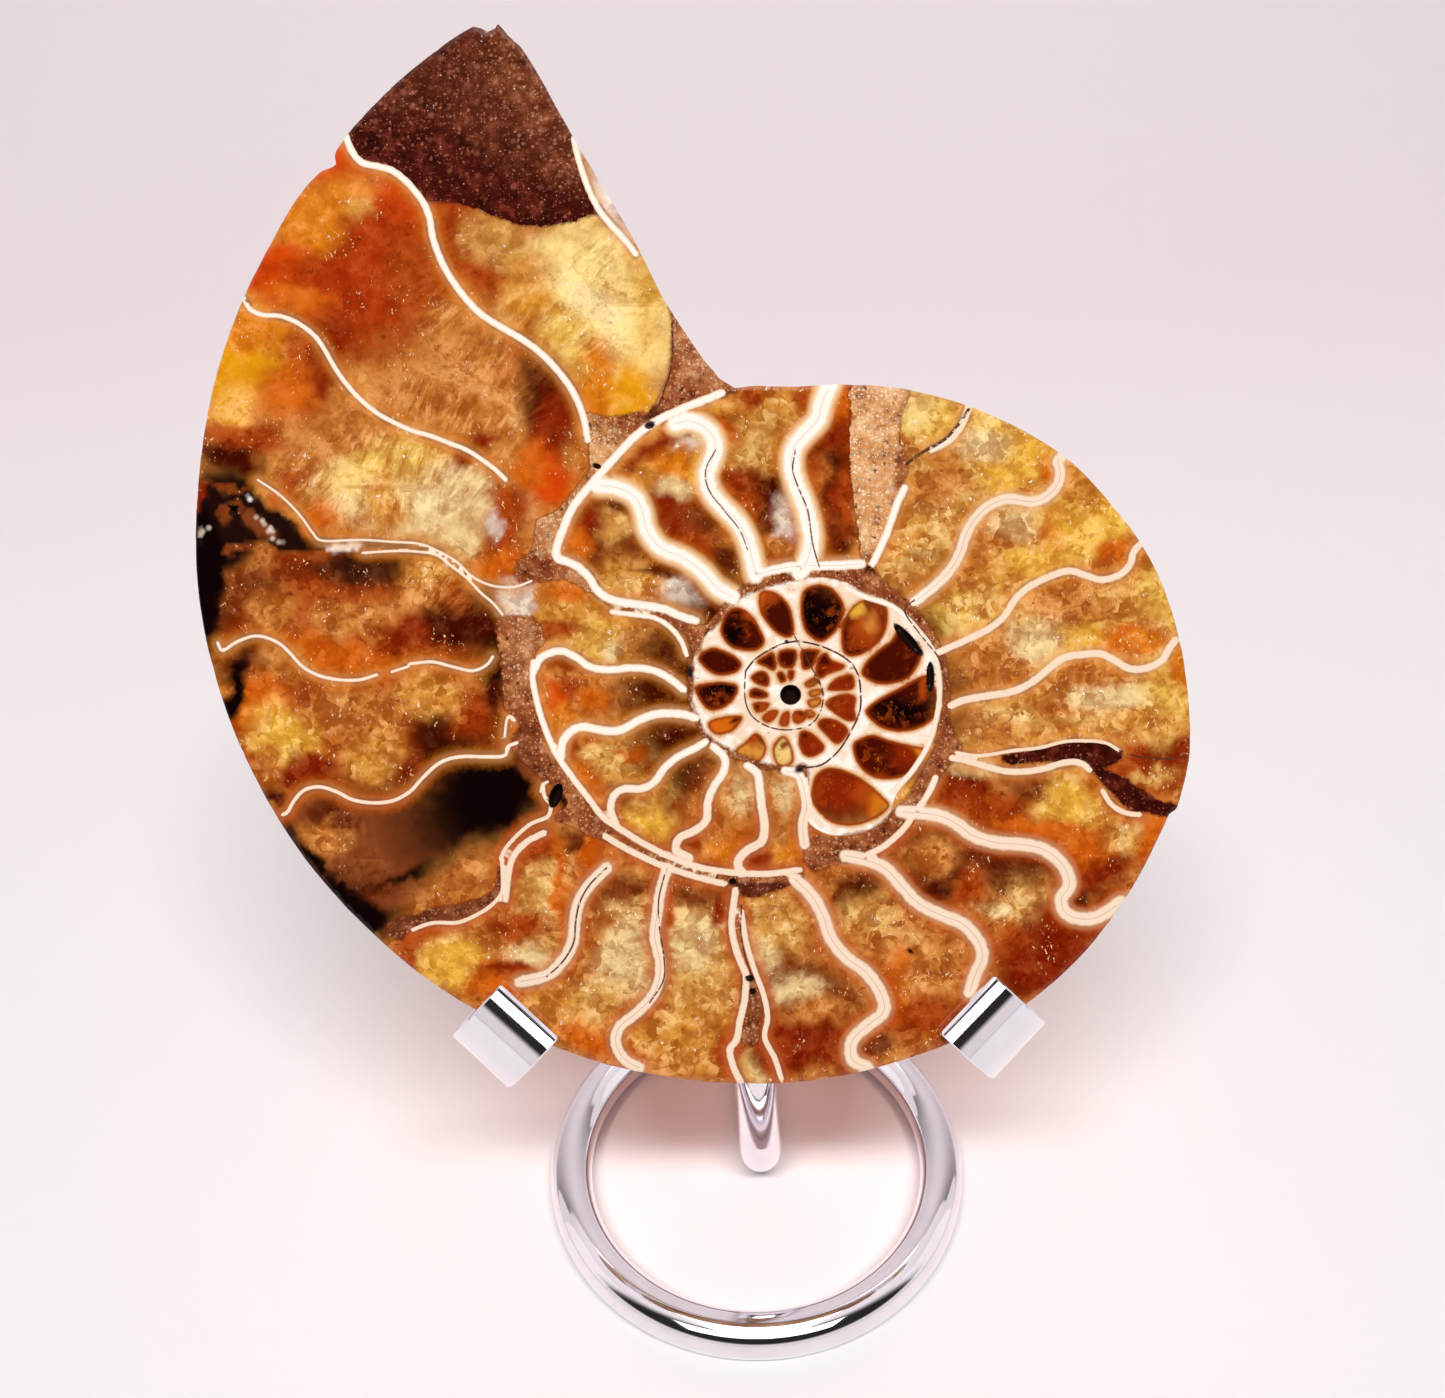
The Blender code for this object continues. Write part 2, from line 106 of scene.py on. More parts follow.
# The coil
WHORL_GROWTH = 2.37
THICKNESS_GROWTH = 1.9
START_THICKNESS = 7.65
EDGE_THICKNESS = 0.8
FLANK_ROUNDING = (2.2, 0.62)
UMBILICUS_RADIUS = 7.0
UMBILICUS_SLOPE = 0.17
UMBILICUS_FLOOR = 3.4
APERTURE_WALL = 1.2
TURN_END = 462.4
RIM = (
    (102.0, 84.8), (115.0, 84.7), (120.0, 83.9), (125.0, 82.7), (130.1, 81.0),
    (130.7, 79.9), (132.1, 80.5), (140.0, 78.5), (150.0, 75.5), (160.0, 72.1),
    (170.0, 68.85), (180.0, 65.2), (190.0, 61.6), (200.0, 58.2), (210.0, 55.0),
    (220.0, 52.3), (231.0, 49.5), (242.6, 47.4), (254.0, 45.7), (265.0, 44.7),
    (276.0, 44.1), (287.0, 43.75), (297.0, 43.9), (308.0, 44.5), (330.0, 44.9),
    (342.4, 45.4), (343.6, 46.1), (350.0, 46.2), (360.0, 45.5), (380.0, 44.1),
    (390.0, 42.8), (400.0, 41.7), (410.0, 40.1), (420.0, 38.6), (430.0, 37.3),
    (440.0, 36.1), (450.0, 35.3), (TURN_END, 35.9),
)
APERTURE = (
    (0.0, 102.4), (35.9, 102.4), (40.7, 105.1), (48.4, 107.9), (55.6, 109.0),
    (62.8, 110.3), (68.0, 111.2), (79.8, 112.5), (83.9, 113.5),
)
TIP_CHIP = ((-35.4, 76.3), (-34.6, 75.9), (-33.8, 76.3), (-33.5, 76.9))
CHIP_EDGE = ((-25.6, 66.0), (-24.9, 64.0), (-23.8, 60.4), (-22.6, 57.4), (-20.4, 54.4),
             (-18.0, 51.2), (-16.6, 49.2))
CHIP_DEPTH = 1.3
CHIP_WIDTH = 1.9
RIM_FIRST = 457.4
RIM_LAST = 115.0
APERTURE_RADII = (82.0, 36.4)
APERTURE_FOOT = (35.7, 100.2)

# Lamps, in watts, and the strength of the tent's walls on dull surfaces
STRIP_POWER = 22.5
SIDE_POWER = 0.08
SHEEN_POWER = 0.5
GLOW_POWER = 0.011
TENT_FILL = 0.025

# The camera: its place from the ring's middle, its lens and sensor, in millimetres
CAMERA_PLACE = Vector((-2.5, -124.9, 180.1))
CAMERA_LENS = 34.88
CAMERA_SENSOR = 36.0

# The table and its sweep behind, in metres
TABLE_FRONT = -1.2
TABLE_HALF_WIDTH = 1.6
SWEEP_START = 0.35
SWEEP_RADIUS = 0.35
SWEEP_TOP = 1.4
SWEEP_STEPS = 16

# Fineness of the stone's mesh, in millimetres
RIM_STEP = 0.45
FACE_STEP = 0.47
CENTRE_STEP = 0.27
CENTRE_RADIUS = 9.5
BACK_STEP = 0.78
LINE_STEP = 0.4
LINE_ROOM = 0.2
EDGE_ROOM = 0.3
ARRIS = 0.16                # worn arris round the polished face
WALL_ROWS = 6
BACK_EDGE_ROOM = 0.45       # the back's grid keeps this far from its edge
RELIEF_FADE = 1.5           # the shell's relief fades out over this width at the edge

# Unevenness of the stone, in millimetres
EDGE_BITE = 0.05
NICK_LEVEL = 0.42           # noise above this level bites deeper, as a nick
NICK_BITE = 0.22
BREAK_PUSH = 0.35           # how far a tall broken wall bows in, and how rough it is
BREAK_ROUGHNESS = 0.5
RIB_HEIGHT = 0.16
GROWTH_HEIGHT = 0.14

# The photograph's picture of the face: pixels per millimetre, and the coil's centre
PHOTO_SCALE = 8.75
PHOTO_CENTRE = (791.0, 695.0)
LINE_STEPS = 4              # short steps between two given points of a line
LINE_APART = 40.0           # keeps the fibres of one wall unlike the next one's
WALL_ROOM = 6.0             # distances beyond these, in millimetres, aren't worked out
AREA_ROOM = 2.0
PAINT_WARPS = ((0.16, 1.5, 2.0), (0.6, 0.9, 5.0), (1.5, 0.45, 8.0))  # scale, amount, seed
PAINT_SOFTNESS = 0.35       # added to every patch's own

# Septa of the last whorl and a half, outwards from the aperture: half width in pixels, points
SEPTA = {
    "s01": (3.2, ((346, 136), (352, 151), (363, 163), (381, 167), (395, 172), (410, 185),
        (424, 203), (430, 219), (433, 237), (439, 255), (449, 275), (464, 296), (481, 314),
        (503, 328), (525, 341), (542, 354), (560, 373), (575, 395), (584, 418), (588, 440))),
    "s02": (2.2, ((244, 298), (250, 309), (263, 315), (280, 316), (298, 323), (315, 336),
        (325, 350), (334, 366), (345, 382), (359, 398), (377, 413), (395, 423), (413, 431),
        (431, 436), (449, 443), (467, 450), (481, 459), (496, 470), (506, 480))),
    "s03a": (1.1, ((258, 480), (280, 495), (300, 515), (313, 533), (323, 541), (360, 540),
        (393, 542), (420, 544), (440, 552), (457, 562), (473, 577), (493, 586), (515, 587),
        (532, 581))),
    "s03b": (1.2, ((363, 553), (397, 551), (420, 552), (437, 555), (450, 565), (467, 578),
        (480, 592), (493, 603), (503, 615))),
    "s04a": (1.5, ((218, 643), (223, 651), (237, 642), (257, 636), (277, 642), (290, 653),
        (303, 667), (320, 676), (340, 680), (360, 680), (377, 675))),
    "s04b": (1.2, ((392, 672), (408, 667))),
    "s04c": (1.4, ((410, 664), (433, 662), (453, 667), (473, 671), (487, 665), (493, 657))),
    "s05": (1.7, ((283, 815), (288, 812), (295, 800), (305, 790), (320, 787), (337, 792),
        (353, 800), (373, 803), (393, 801), (410, 792), (423, 778), (440, 763), (460, 757),
        (487, 757), (505, 756), (508, 747), (517, 743))),
    "s05b": (1.2, ((505, 737), (507, 720), (511, 716), (515, 721))),
    "s06": (1.8, ((543, 785), (545, 797), (551, 805), (548, 817), (533, 823), (520, 833),
        (507, 847), (501, 858))),
    "s06b": (1.3, ((548, 782), (543, 785), (541, 792))),
    "s07": (1.8, ((502, 858), (503, 877), (502, 893), (490, 907), (473, 917), (457, 923),
        (433, 923), (413, 930))),
    "s07b": (3.0, ((545, 833), (527, 842), (513, 858), (508, 880), (506, 900))),
    "s08": (5.5, ((607, 868), (590, 885), (579, 903), (575, 923), (573, 943), (563, 961),
        (547, 976), (520, 982))),
    "s09": (5.0, ((668, 868), (661, 890), (657, 918), (655, 938), (661, 966), (655, 993),
        (637, 1013), (620, 1027), (616, 1043), (625, 1060), (640, 1068))),
    "s10": (3.2, ((736, 890), (732, 926), (738, 955), (746, 975), (745, 1000), (740, 1022),
        (737, 1040), (730, 1050), (734, 1068), (742, 1084))),
    "s11": (2.6, ((742, 912), (746, 940), (754, 968), (764, 995), (768, 1018), (765, 1038),
        (775, 1058), (782, 1080))),
    "s12": (6.0, ((795, 879), (812, 896), (823, 915), (831, 938), (847, 958), (866, 972),
        (881, 993), (884, 1012), (866, 1027), (852, 1042), (853, 1060), (868, 1068))),
    "s13": (6.0, ((846, 856), (862, 859), (885, 868), (901, 885), (918, 903), (941, 915),
        (963, 924), (978, 940), (983, 957), (976, 974), (970, 992))),
    "s14": (6.2, ((902, 812), (919, 813), (940, 816), (957, 824), (974, 836), (998, 843),
        (1026, 845), (1047, 851), (1064, 866), (1070, 885), (1062, 898), (1065, 912), (1080, 919),
        (1099, 917), (1122, 902))),
    "s15a": (1.6, ((957, 753), (981, 756), (1012, 751), (1040, 748), (1064, 742), (1085, 741),
        (1106, 743), (1120, 751))),
    "s15b": (3.0, ((952, 758), (968, 761), (991, 768), (1012, 772), (1040, 770), (1064, 763),
        (1081, 763), (1090, 770))),
    "s15c": (2.4, ((1103, 791), (1112, 805), (1126, 813), (1140, 815))),
    "s16": (3.4, ((951, 706), (962, 701), (981, 697), (1012, 692), (1033, 682), (1050, 668),
        (1064, 658), (1081, 655), (1101, 654), (1116, 661), (1130, 669), (1148, 668), (1163, 660),
        (1170, 648), (1176, 640))),
    "s17": (3.2, ((940, 652), (967, 640), (991, 628), (1006, 615), (1015, 600), (1028, 588),
        (1047, 578), (1068, 571), (1085, 575), (1102, 580), (1120, 575), (1131, 564), (1134, 552),
        (1142, 543))),
    "s18": (4.8, ((915, 602), (933, 588), (950, 571), (960, 554), (967, 533), (978, 516),
        (991, 505), (1009, 499), (1030, 502), (1043, 499), (1056, 488), (1061, 474), (1058, 462),
        (1064, 455))),
    "s19": (3.4, ((970, 405), (962, 425), (950, 440), (932, 450))),
    "s19b": (3.6, ((905, 488), (897, 505), (890, 526), (883, 543), (873, 564))),
    "s20": (8.6, ((830, 386), (823, 402), (818, 420), (805, 434), (795, 447), (792, 462),
        (795, 480), (803, 500), (809, 520), (812, 540), (808, 560), (800, 572))),
    "s21": (8.2, ((676, 424), (690, 421), (706, 428), (715, 441), (714, 456), (707, 474),
        (711, 492), (722, 506), (737, 521), (747, 539), (752, 556), (756, 575))),
    "s22": (7.6, ((600, 486), (618, 488), (635, 497), (643, 512), (647, 530), (661, 548),
        (684, 558), (703, 572), (717, 588), (733, 597))),
    "s23": (4.0, ((558, 559), (575, 565), (589, 577), (598, 591), (612, 600), (640, 605),
        (664, 609), (680, 616), (696, 621))),
    "s24": (3.6, ((536, 668), (542, 657), (560, 651), (576, 657), (590, 667), (610, 670),
        (634, 668), (655, 671), (672, 680), (684, 690))),
    "s24b": (2.4, ((612, 612), (635, 615), (655, 618), (670, 627), (681, 640), (687, 655))),
    "s25": (4.0, ((561, 757), (563, 742), (572, 731), (585, 727), (605, 731), (622, 730),
        (640, 720), (658, 714), (680, 714), (696, 718))),
    "s26": (3.6, ((616, 824), (611, 810), (614, 796), (625, 789), (642, 789), (655, 782),
        (665, 768), (678, 757), (696, 748), (706, 742))),
    "s27": (3.8, ((690, 858), (676, 850), (680, 838), (695, 831), (707, 820), (708, 803),
        (714, 787), (724, 772), (725, 758), (714, 747))),
    "s28": (4.0, ((742, 874), (738, 862), (748, 850), (762, 842), (765, 826), (762, 806),
        (760, 788), (758, 774), (748, 766))),
    "s29": (4.6, ((805, 845), (803, 825), (807, 805), (803, 785), (798, 774), (786, 771))),
}

# Walls between the whorls, and the cream lines along them
WHORL_WALLS = {
    "outer of second whorl": (4.0, ((722, 393), (700, 402), (682, 409), (657, 421), (636, 436),
        (611, 462), (592, 484), (574, 506), (563, 530), (556, 552), (560, 560))),
    "left of second whorl": (3.0, ((534, 662), (533, 680), (538, 705), (546, 730), (557, 755),
        (573, 778), (590, 800), (604, 818), (625, 832), (648, 846), (675, 859), (702, 868),
        (735, 873), (770, 874), (800, 870))),
    "top of second whorl": (4.6, ((756, 575), (775, 570), (800, 566), (830, 566), (862, 564))),
    "under second whorl": (3.0, ((605, 836), (625, 848), (645, 858), (668, 868), (700, 878),
        (725, 884))),
    "right of third whorl": (3.0, ((868, 855), (885, 846), (903, 830), (916, 812), (928, 795),
        (936, 778))),
    "rim side of third whorl": (2.6, ((846, 588), (865, 597), (885, 603), (900, 612), (915, 628),
        (930, 645), (938, 668), (940, 695), (936, 722), (927, 748), (912, 772), (893, 792))),
    "chipped edge": (3.0, ((574, 138), (578, 156), (584, 176), (591, 194), (600, 211), (614, 228),
        (628, 243), (636, 254))),
    "lower left brim": (2.6, ((822, 826), (812, 812), (807, 795), (806, 780))),
}

# Chambers of the small whorls: outlines of the dark fillings inside cream walls
CELLS = (
    ((733, 608), (743, 609), (754, 618), (762, 632), (765, 643), (758, 650), (745, 651), (731, 647),
        (722, 636), (721, 626), (726, 614)),
    ((760, 593), (770, 591), (781, 596), (790, 607), (794, 622), (794, 634), (788, 638), (778, 634),
        (768, 624), (760, 610)),
    ((803, 592), (815, 585), (828, 586), (838, 594), (845, 608), (842, 622), (833, 635), (822, 642),
        (812, 638), (804, 628), (801, 610)),
    ((852, 608), (861, 601), (875, 598), (886, 606), (888, 620), (884, 636), (873, 648), (858, 656),
        (846, 655), (842, 645), (842, 628), (846, 617)),
    ((899, 630), (910, 640), (922, 653), (917, 668), (908, 679), (893, 684), (878, 684), (865, 678),
        (862, 671), (868, 660), (880, 649), (891, 641)),
    ((866, 711), (875, 702), (888, 694), (902, 687), (918, 678), (928, 676), (937, 690), (940, 706),
        (933, 720), (918, 729), (901, 732), (884, 729), (872, 721)),
    ((853, 745), (862, 738), (874, 735), (889, 740), (908, 745), (927, 750), (922, 762), (911, 773),
        (896, 779), (879, 779), (866, 773), (857, 762)),
    ((812, 790), (816, 776), (828, 768), (843, 770), (857, 776), (870, 785), (883, 797), (890, 805),
        (882, 815), (868, 822), (851, 826), (833, 823), (820, 813), (812, 801)),
    ((698, 658), (706, 650), (717, 648), (733, 655), (742, 663), (739, 671), (729, 675), (716, 675),
        (705, 668)),
    ((695, 687), (709, 683), (724, 682), (737, 685), (738, 692), (733, 701), (722, 709), (709, 710),
        (701, 702)),
    ((709, 722), (724, 717), (741, 716), (741, 722), (733, 731), (719, 735), (711, 731)),
    ((735, 752), (746, 742), (757, 733), (766, 745), (764, 757), (752, 766), (742, 762)),
    ((773, 748), (783, 736), (791, 745), (794, 760), (787, 767), (777, 764)),
    ((757, 662), (766, 655), (774, 653), (777, 665), (774, 671), (765, 667)),
    ((778, 655), (782, 650), (796, 650), (797, 660), (793, 668), (783, 668), (778, 662)),
    ((802, 650), (820, 650), (818, 656), (813, 667), (804, 670), (801, 660)),
    ((821, 655), (827, 653), (832, 660), (845, 665), (842, 670), (830, 674), (820, 679), (816, 672),
        (817, 662)),
    ((828, 690), (832, 682), (842, 676), (853, 675), (855, 684), (852, 690), (838, 691)),
    ((826, 703), (833, 697), (845, 694), (856, 697), (855, 709), (856, 720), (848, 721), (838, 716),
        (828, 708)),
    ((818, 725), (822, 719), (832, 719), (842, 723), (849, 731), (843, 741), (836, 744),
        (826, 735)),
    ((799, 737), (802, 731), (810, 732), (820, 740), (825, 748), (818, 755), (807, 757),
        (800, 748)),
    ((751, 678), (757, 672), (766, 672), (770, 680), (767, 687), (757, 684)),
    ((751, 690), (757, 688), (768, 693), (767, 698), (757, 699), (750, 697)),
    ((753, 704), (762, 702), (770, 704), (766, 710), (757, 713)),
    ((762, 718), (770, 711), (779, 711), (775, 719), (768, 723)),
    ((780, 725), (782, 715), (789, 711), (790, 718), (788, 726)),
    ((794, 712), (803, 711), (807, 718), (799, 724), (793, 720)),
    ((777, 674), (783, 672), (787, 680), (781, 683)),
    ((788, 671), (795, 671), (793, 680), (789, 680)),
    ((805, 683), (816, 677), (819, 683), (809, 688)),
    ((809, 692), (819, 689), (822, 694), (812, 697)),
    ((808, 701), (820, 698), (821, 704), (812, 708)),
    ((804, 712), (811, 710), (816, 715), (809, 719)),
)

# Where the small whorls lie: cream inside this outline, apart from the chambers
SMALL_WHORLS = ((750, 588), (775, 584), (800, 579), (822, 577), (846, 582), (870, 593), (895, 604),
                (915, 622), (932, 645), (941, 668), (943, 695), (938, 722), (930, 748),
                (915, 773), (897, 794), (888, 818), (866, 832), (835, 836), (812, 826),
                (803, 808), (800, 785), (790, 770), (762, 766), (735, 756), (712, 745),
                (697, 722), (690, 700), (691, 672), (698, 646), (710, 630), (728, 606))

# Sediment: tone from 0, nearly black, to 1, sandy, and the outline
SEDIMENT = {
    "body chamber": (0.1, ((338, 128), (380, 78), (430, 42), (480, 8), (512, 16), (545, 70),
        (572, 135), (582, 166), (592, 194), (604, 212), (590, 216), (575, 221), (546, 226),
        (521, 225), (499, 218), (478, 209), (453, 203), (429, 201), (418, 190), (408, 180),
        (395, 170), (381, 165), (362, 161), (353, 150), (346, 136))),
    "aperture foot": (0.4, ((668, 300), (672, 320), (672, 345), (670, 370), (664, 389), (655, 405),
        (643, 420), (655, 424), (690, 405), (728, 396), (740, 380), (700, 345), (680, 310))),
    "wedge by first septum": (0.68, ((655, 418), (640, 412), (610, 418), (586, 414), (589, 440),
        (590, 458), (590, 470), (575, 490), (556, 512), (538, 520), (533, 550), (517, 563),
        (517, 580), (530, 583), (560, 579), (575, 583), (590, 592), (605, 600), (600, 590),
        (592, 576), (580, 566), (558, 561), (556, 550), (560, 532), (570, 510), (584, 492),
        (602, 473), (622, 452), (650, 425))),
    "left of second whorl": (0.42, ((498, 620), (533, 618), (545, 640), (536, 652), (533, 680),
        (538, 705), (546, 732), (556, 755), (570, 778), (590, 805), (612, 830), (640, 848),
        (670, 860), (700, 870), (735, 875), (775, 877), (800, 874), (800, 881), (775, 884),
        (735, 884), (700, 876), (668, 866), (640, 856), (610, 842), (595, 838), (575, 828),
        (555, 818), (568, 805), (560, 790), (543, 780), (528, 765), (515, 752), (512, 742),
        (520, 725), (513, 715), (505, 705), (502, 670), (498, 640))),
    "thin band above third whorl": (0.36, ((603, 596), (620, 602), (645, 605), (665, 609),
        (678, 617), (690, 623), (702, 626), (712, 620), (725, 604), (740, 590), (752, 582),
        (760, 578), (800, 569), (830, 567), (870, 565), (880, 578), (898, 594), (915, 607),
        (930, 627), (940, 645), (946, 662), (950, 690), (949, 720), (957, 738), (962, 750),
        (950, 765), (938, 778), (925, 795), (912, 815), (895, 832), (880, 845), (862, 858),
        (845, 862), (825, 868), (812, 870), (805, 860), (806, 845), (815, 838), (830, 838),
        (850, 835), (870, 830), (885, 820), (900, 806), (912, 790), (923, 772), (933, 750),
        (941, 720), (944, 690), (940, 665), (930, 640), (915, 620), (900, 607), (880, 597),
        (862, 592), (850, 583), (820, 576), (800, 579), (775, 585), (755, 591), (742, 597),
        (728, 610), (716, 626), (704, 636), (700, 650), (692, 656), (690, 640), (680, 630),
        (665, 620), (650, 614), (630, 611), (610, 605))),
    "left line of third whorl": (0.25, ((689, 655), (693, 660), (694, 678), (692, 700), (698, 716),
        (704, 730), (718, 743), (738, 753), (762, 763), (790, 768), (803, 764), (808, 772),
        (808, 785), (803, 785), (796, 775), (788, 773), (760, 768), (735, 758), (715, 748),
        (701, 734), (695, 718), (689, 700), (688, 680))),
    "sandy band": (1.0, ((853, 386), (907, 384), (903, 410), (900, 425), (900, 443), (908, 462),
        (903, 485), (893, 505), (887, 526), (880, 545), (872, 562), (866, 566), (862, 561),
        (860, 540), (856, 510), (852, 480), (850, 446), (852, 410))),
    "dark vein": (-0.2, ((1003, 756), (1040, 749), (1064, 743), (1090, 742), (1110, 745),
        (1123, 753), (1118, 762), (1105, 768), (1092, 771), (1080, 764), (1060, 761), (1030, 763),
        (1010, 764))),
    "dark vein foot": (-0.2, ((1092, 768), (1118, 775), (1140, 788), (1158, 800), (1178, 806),
        (1172, 818), (1150, 813), (1130, 810), (1117, 798), (1105, 785))),
    "under second whorl": (0.12, ((735, 880), (765, 880), (800, 878), (790, 885), (770, 893),
        (752, 898), (740, 893))),
    "split": (0.28, ((744, 978), (752, 975), (758, 988), (762, 1008), (760, 1026), (757, 1044),
        (744, 1044), (741, 1022), (742, 1000))),
    "lower left band": (0.2, ((385, 928), (400, 917), (415, 916), (433, 909), (467, 903),
        (493, 891), (500, 866), (503, 878), (500, 893), (488, 905), (470, 915), (455, 920),
        (430, 921), (413, 928), (400, 940))),
}

# Where the sediment is darker or paler: middle, half sizes, turn, change of tone
TONE_CHANGES = (
    (530, 60, 46, 60, -20, 0.08), (560, 150, 26, 50, -20, 0.04), (420, 165, 70, 40, 20, -0.12),
    (520, 205, 80, 24, 12, -0.12), (905, 450, 9, 70, 5, -0.5), (878, 560, 20, 12, 0, -0.4),
    (525, 750, 18, 60, -20, -0.15), (520, 660, 14, 40, 0, 0.2), (640, 420, 40, 14, 0, -0.3),
    (605, 450, 20, 26, 0, 0.2), (530, 570, 30, 14, 0, -0.4), (700, 345, 30, 50, -20, 0.2),
)

# Colours by name: red, green and blue as seen in the photograph, and how much crystal they show
PALETTE = {
    "ivory": (250, 238, 226, 0.3), "cream": (224, 192, 134, 0.8), "pale": (234, 200, 122, 0.5),
    "straw": (226, 178, 80, 0.8), "yellow": (230, 174, 62, 0.6), "gold": (224, 150, 14, 0.4),
    "honey": (208, 140, 54, 0.9), "amber": (212, 120, 20, 0.7), "orange": (206, 98, 16, 0.6),
    "flame": (202, 66, 4, 0.5), "rust": (164, 64, 14, 0.9), "brown": (128, 60, 22, 0.9),
    "red brown": (132, 34, 5, 0.7), "maroon": (68, 12, 2, 0.5), "umber": (60, 24, 10, 0.5),
    "black": (12, 2, 2, 0.0), "tan": (196, 120, 50, 1.0), "olive": (198, 142, 66, 0.9),
    "grey": (214, 192, 176, 0.6), "sand": (212, 156, 76, 1.0), "dusk": (46, 20, 8, 0.0),
    "cocoa": (124, 60, 27, 0.12), "wall": (236, 208, 180, 0.2), "bark": (98, 36, 10, 0.8),
    "peach": (240, 200, 148, 0.2), "scarlet": (170, 54, 10, 0.9),
    "glass": (30, 10, 6, 0.0),
}

# Where crystals stand as long fibres across the walls: middle and half sizes in pixels, turn
FIBROUS = (
    (470, 400, 100, 60, 40), (385, 470, 130, 60, 10), (600, 300, 60, 60, 0), (375, 850, 60, 30, 30),
    (640, 930, 20, 40, 0), (560, 900, 20, 60, 0), (440, 300, 30, 50, -30), (1000, 915, 40, 30, 0),
    (240, 430, 30, 40, 0), (450, 590, 50, 30, 0),
)

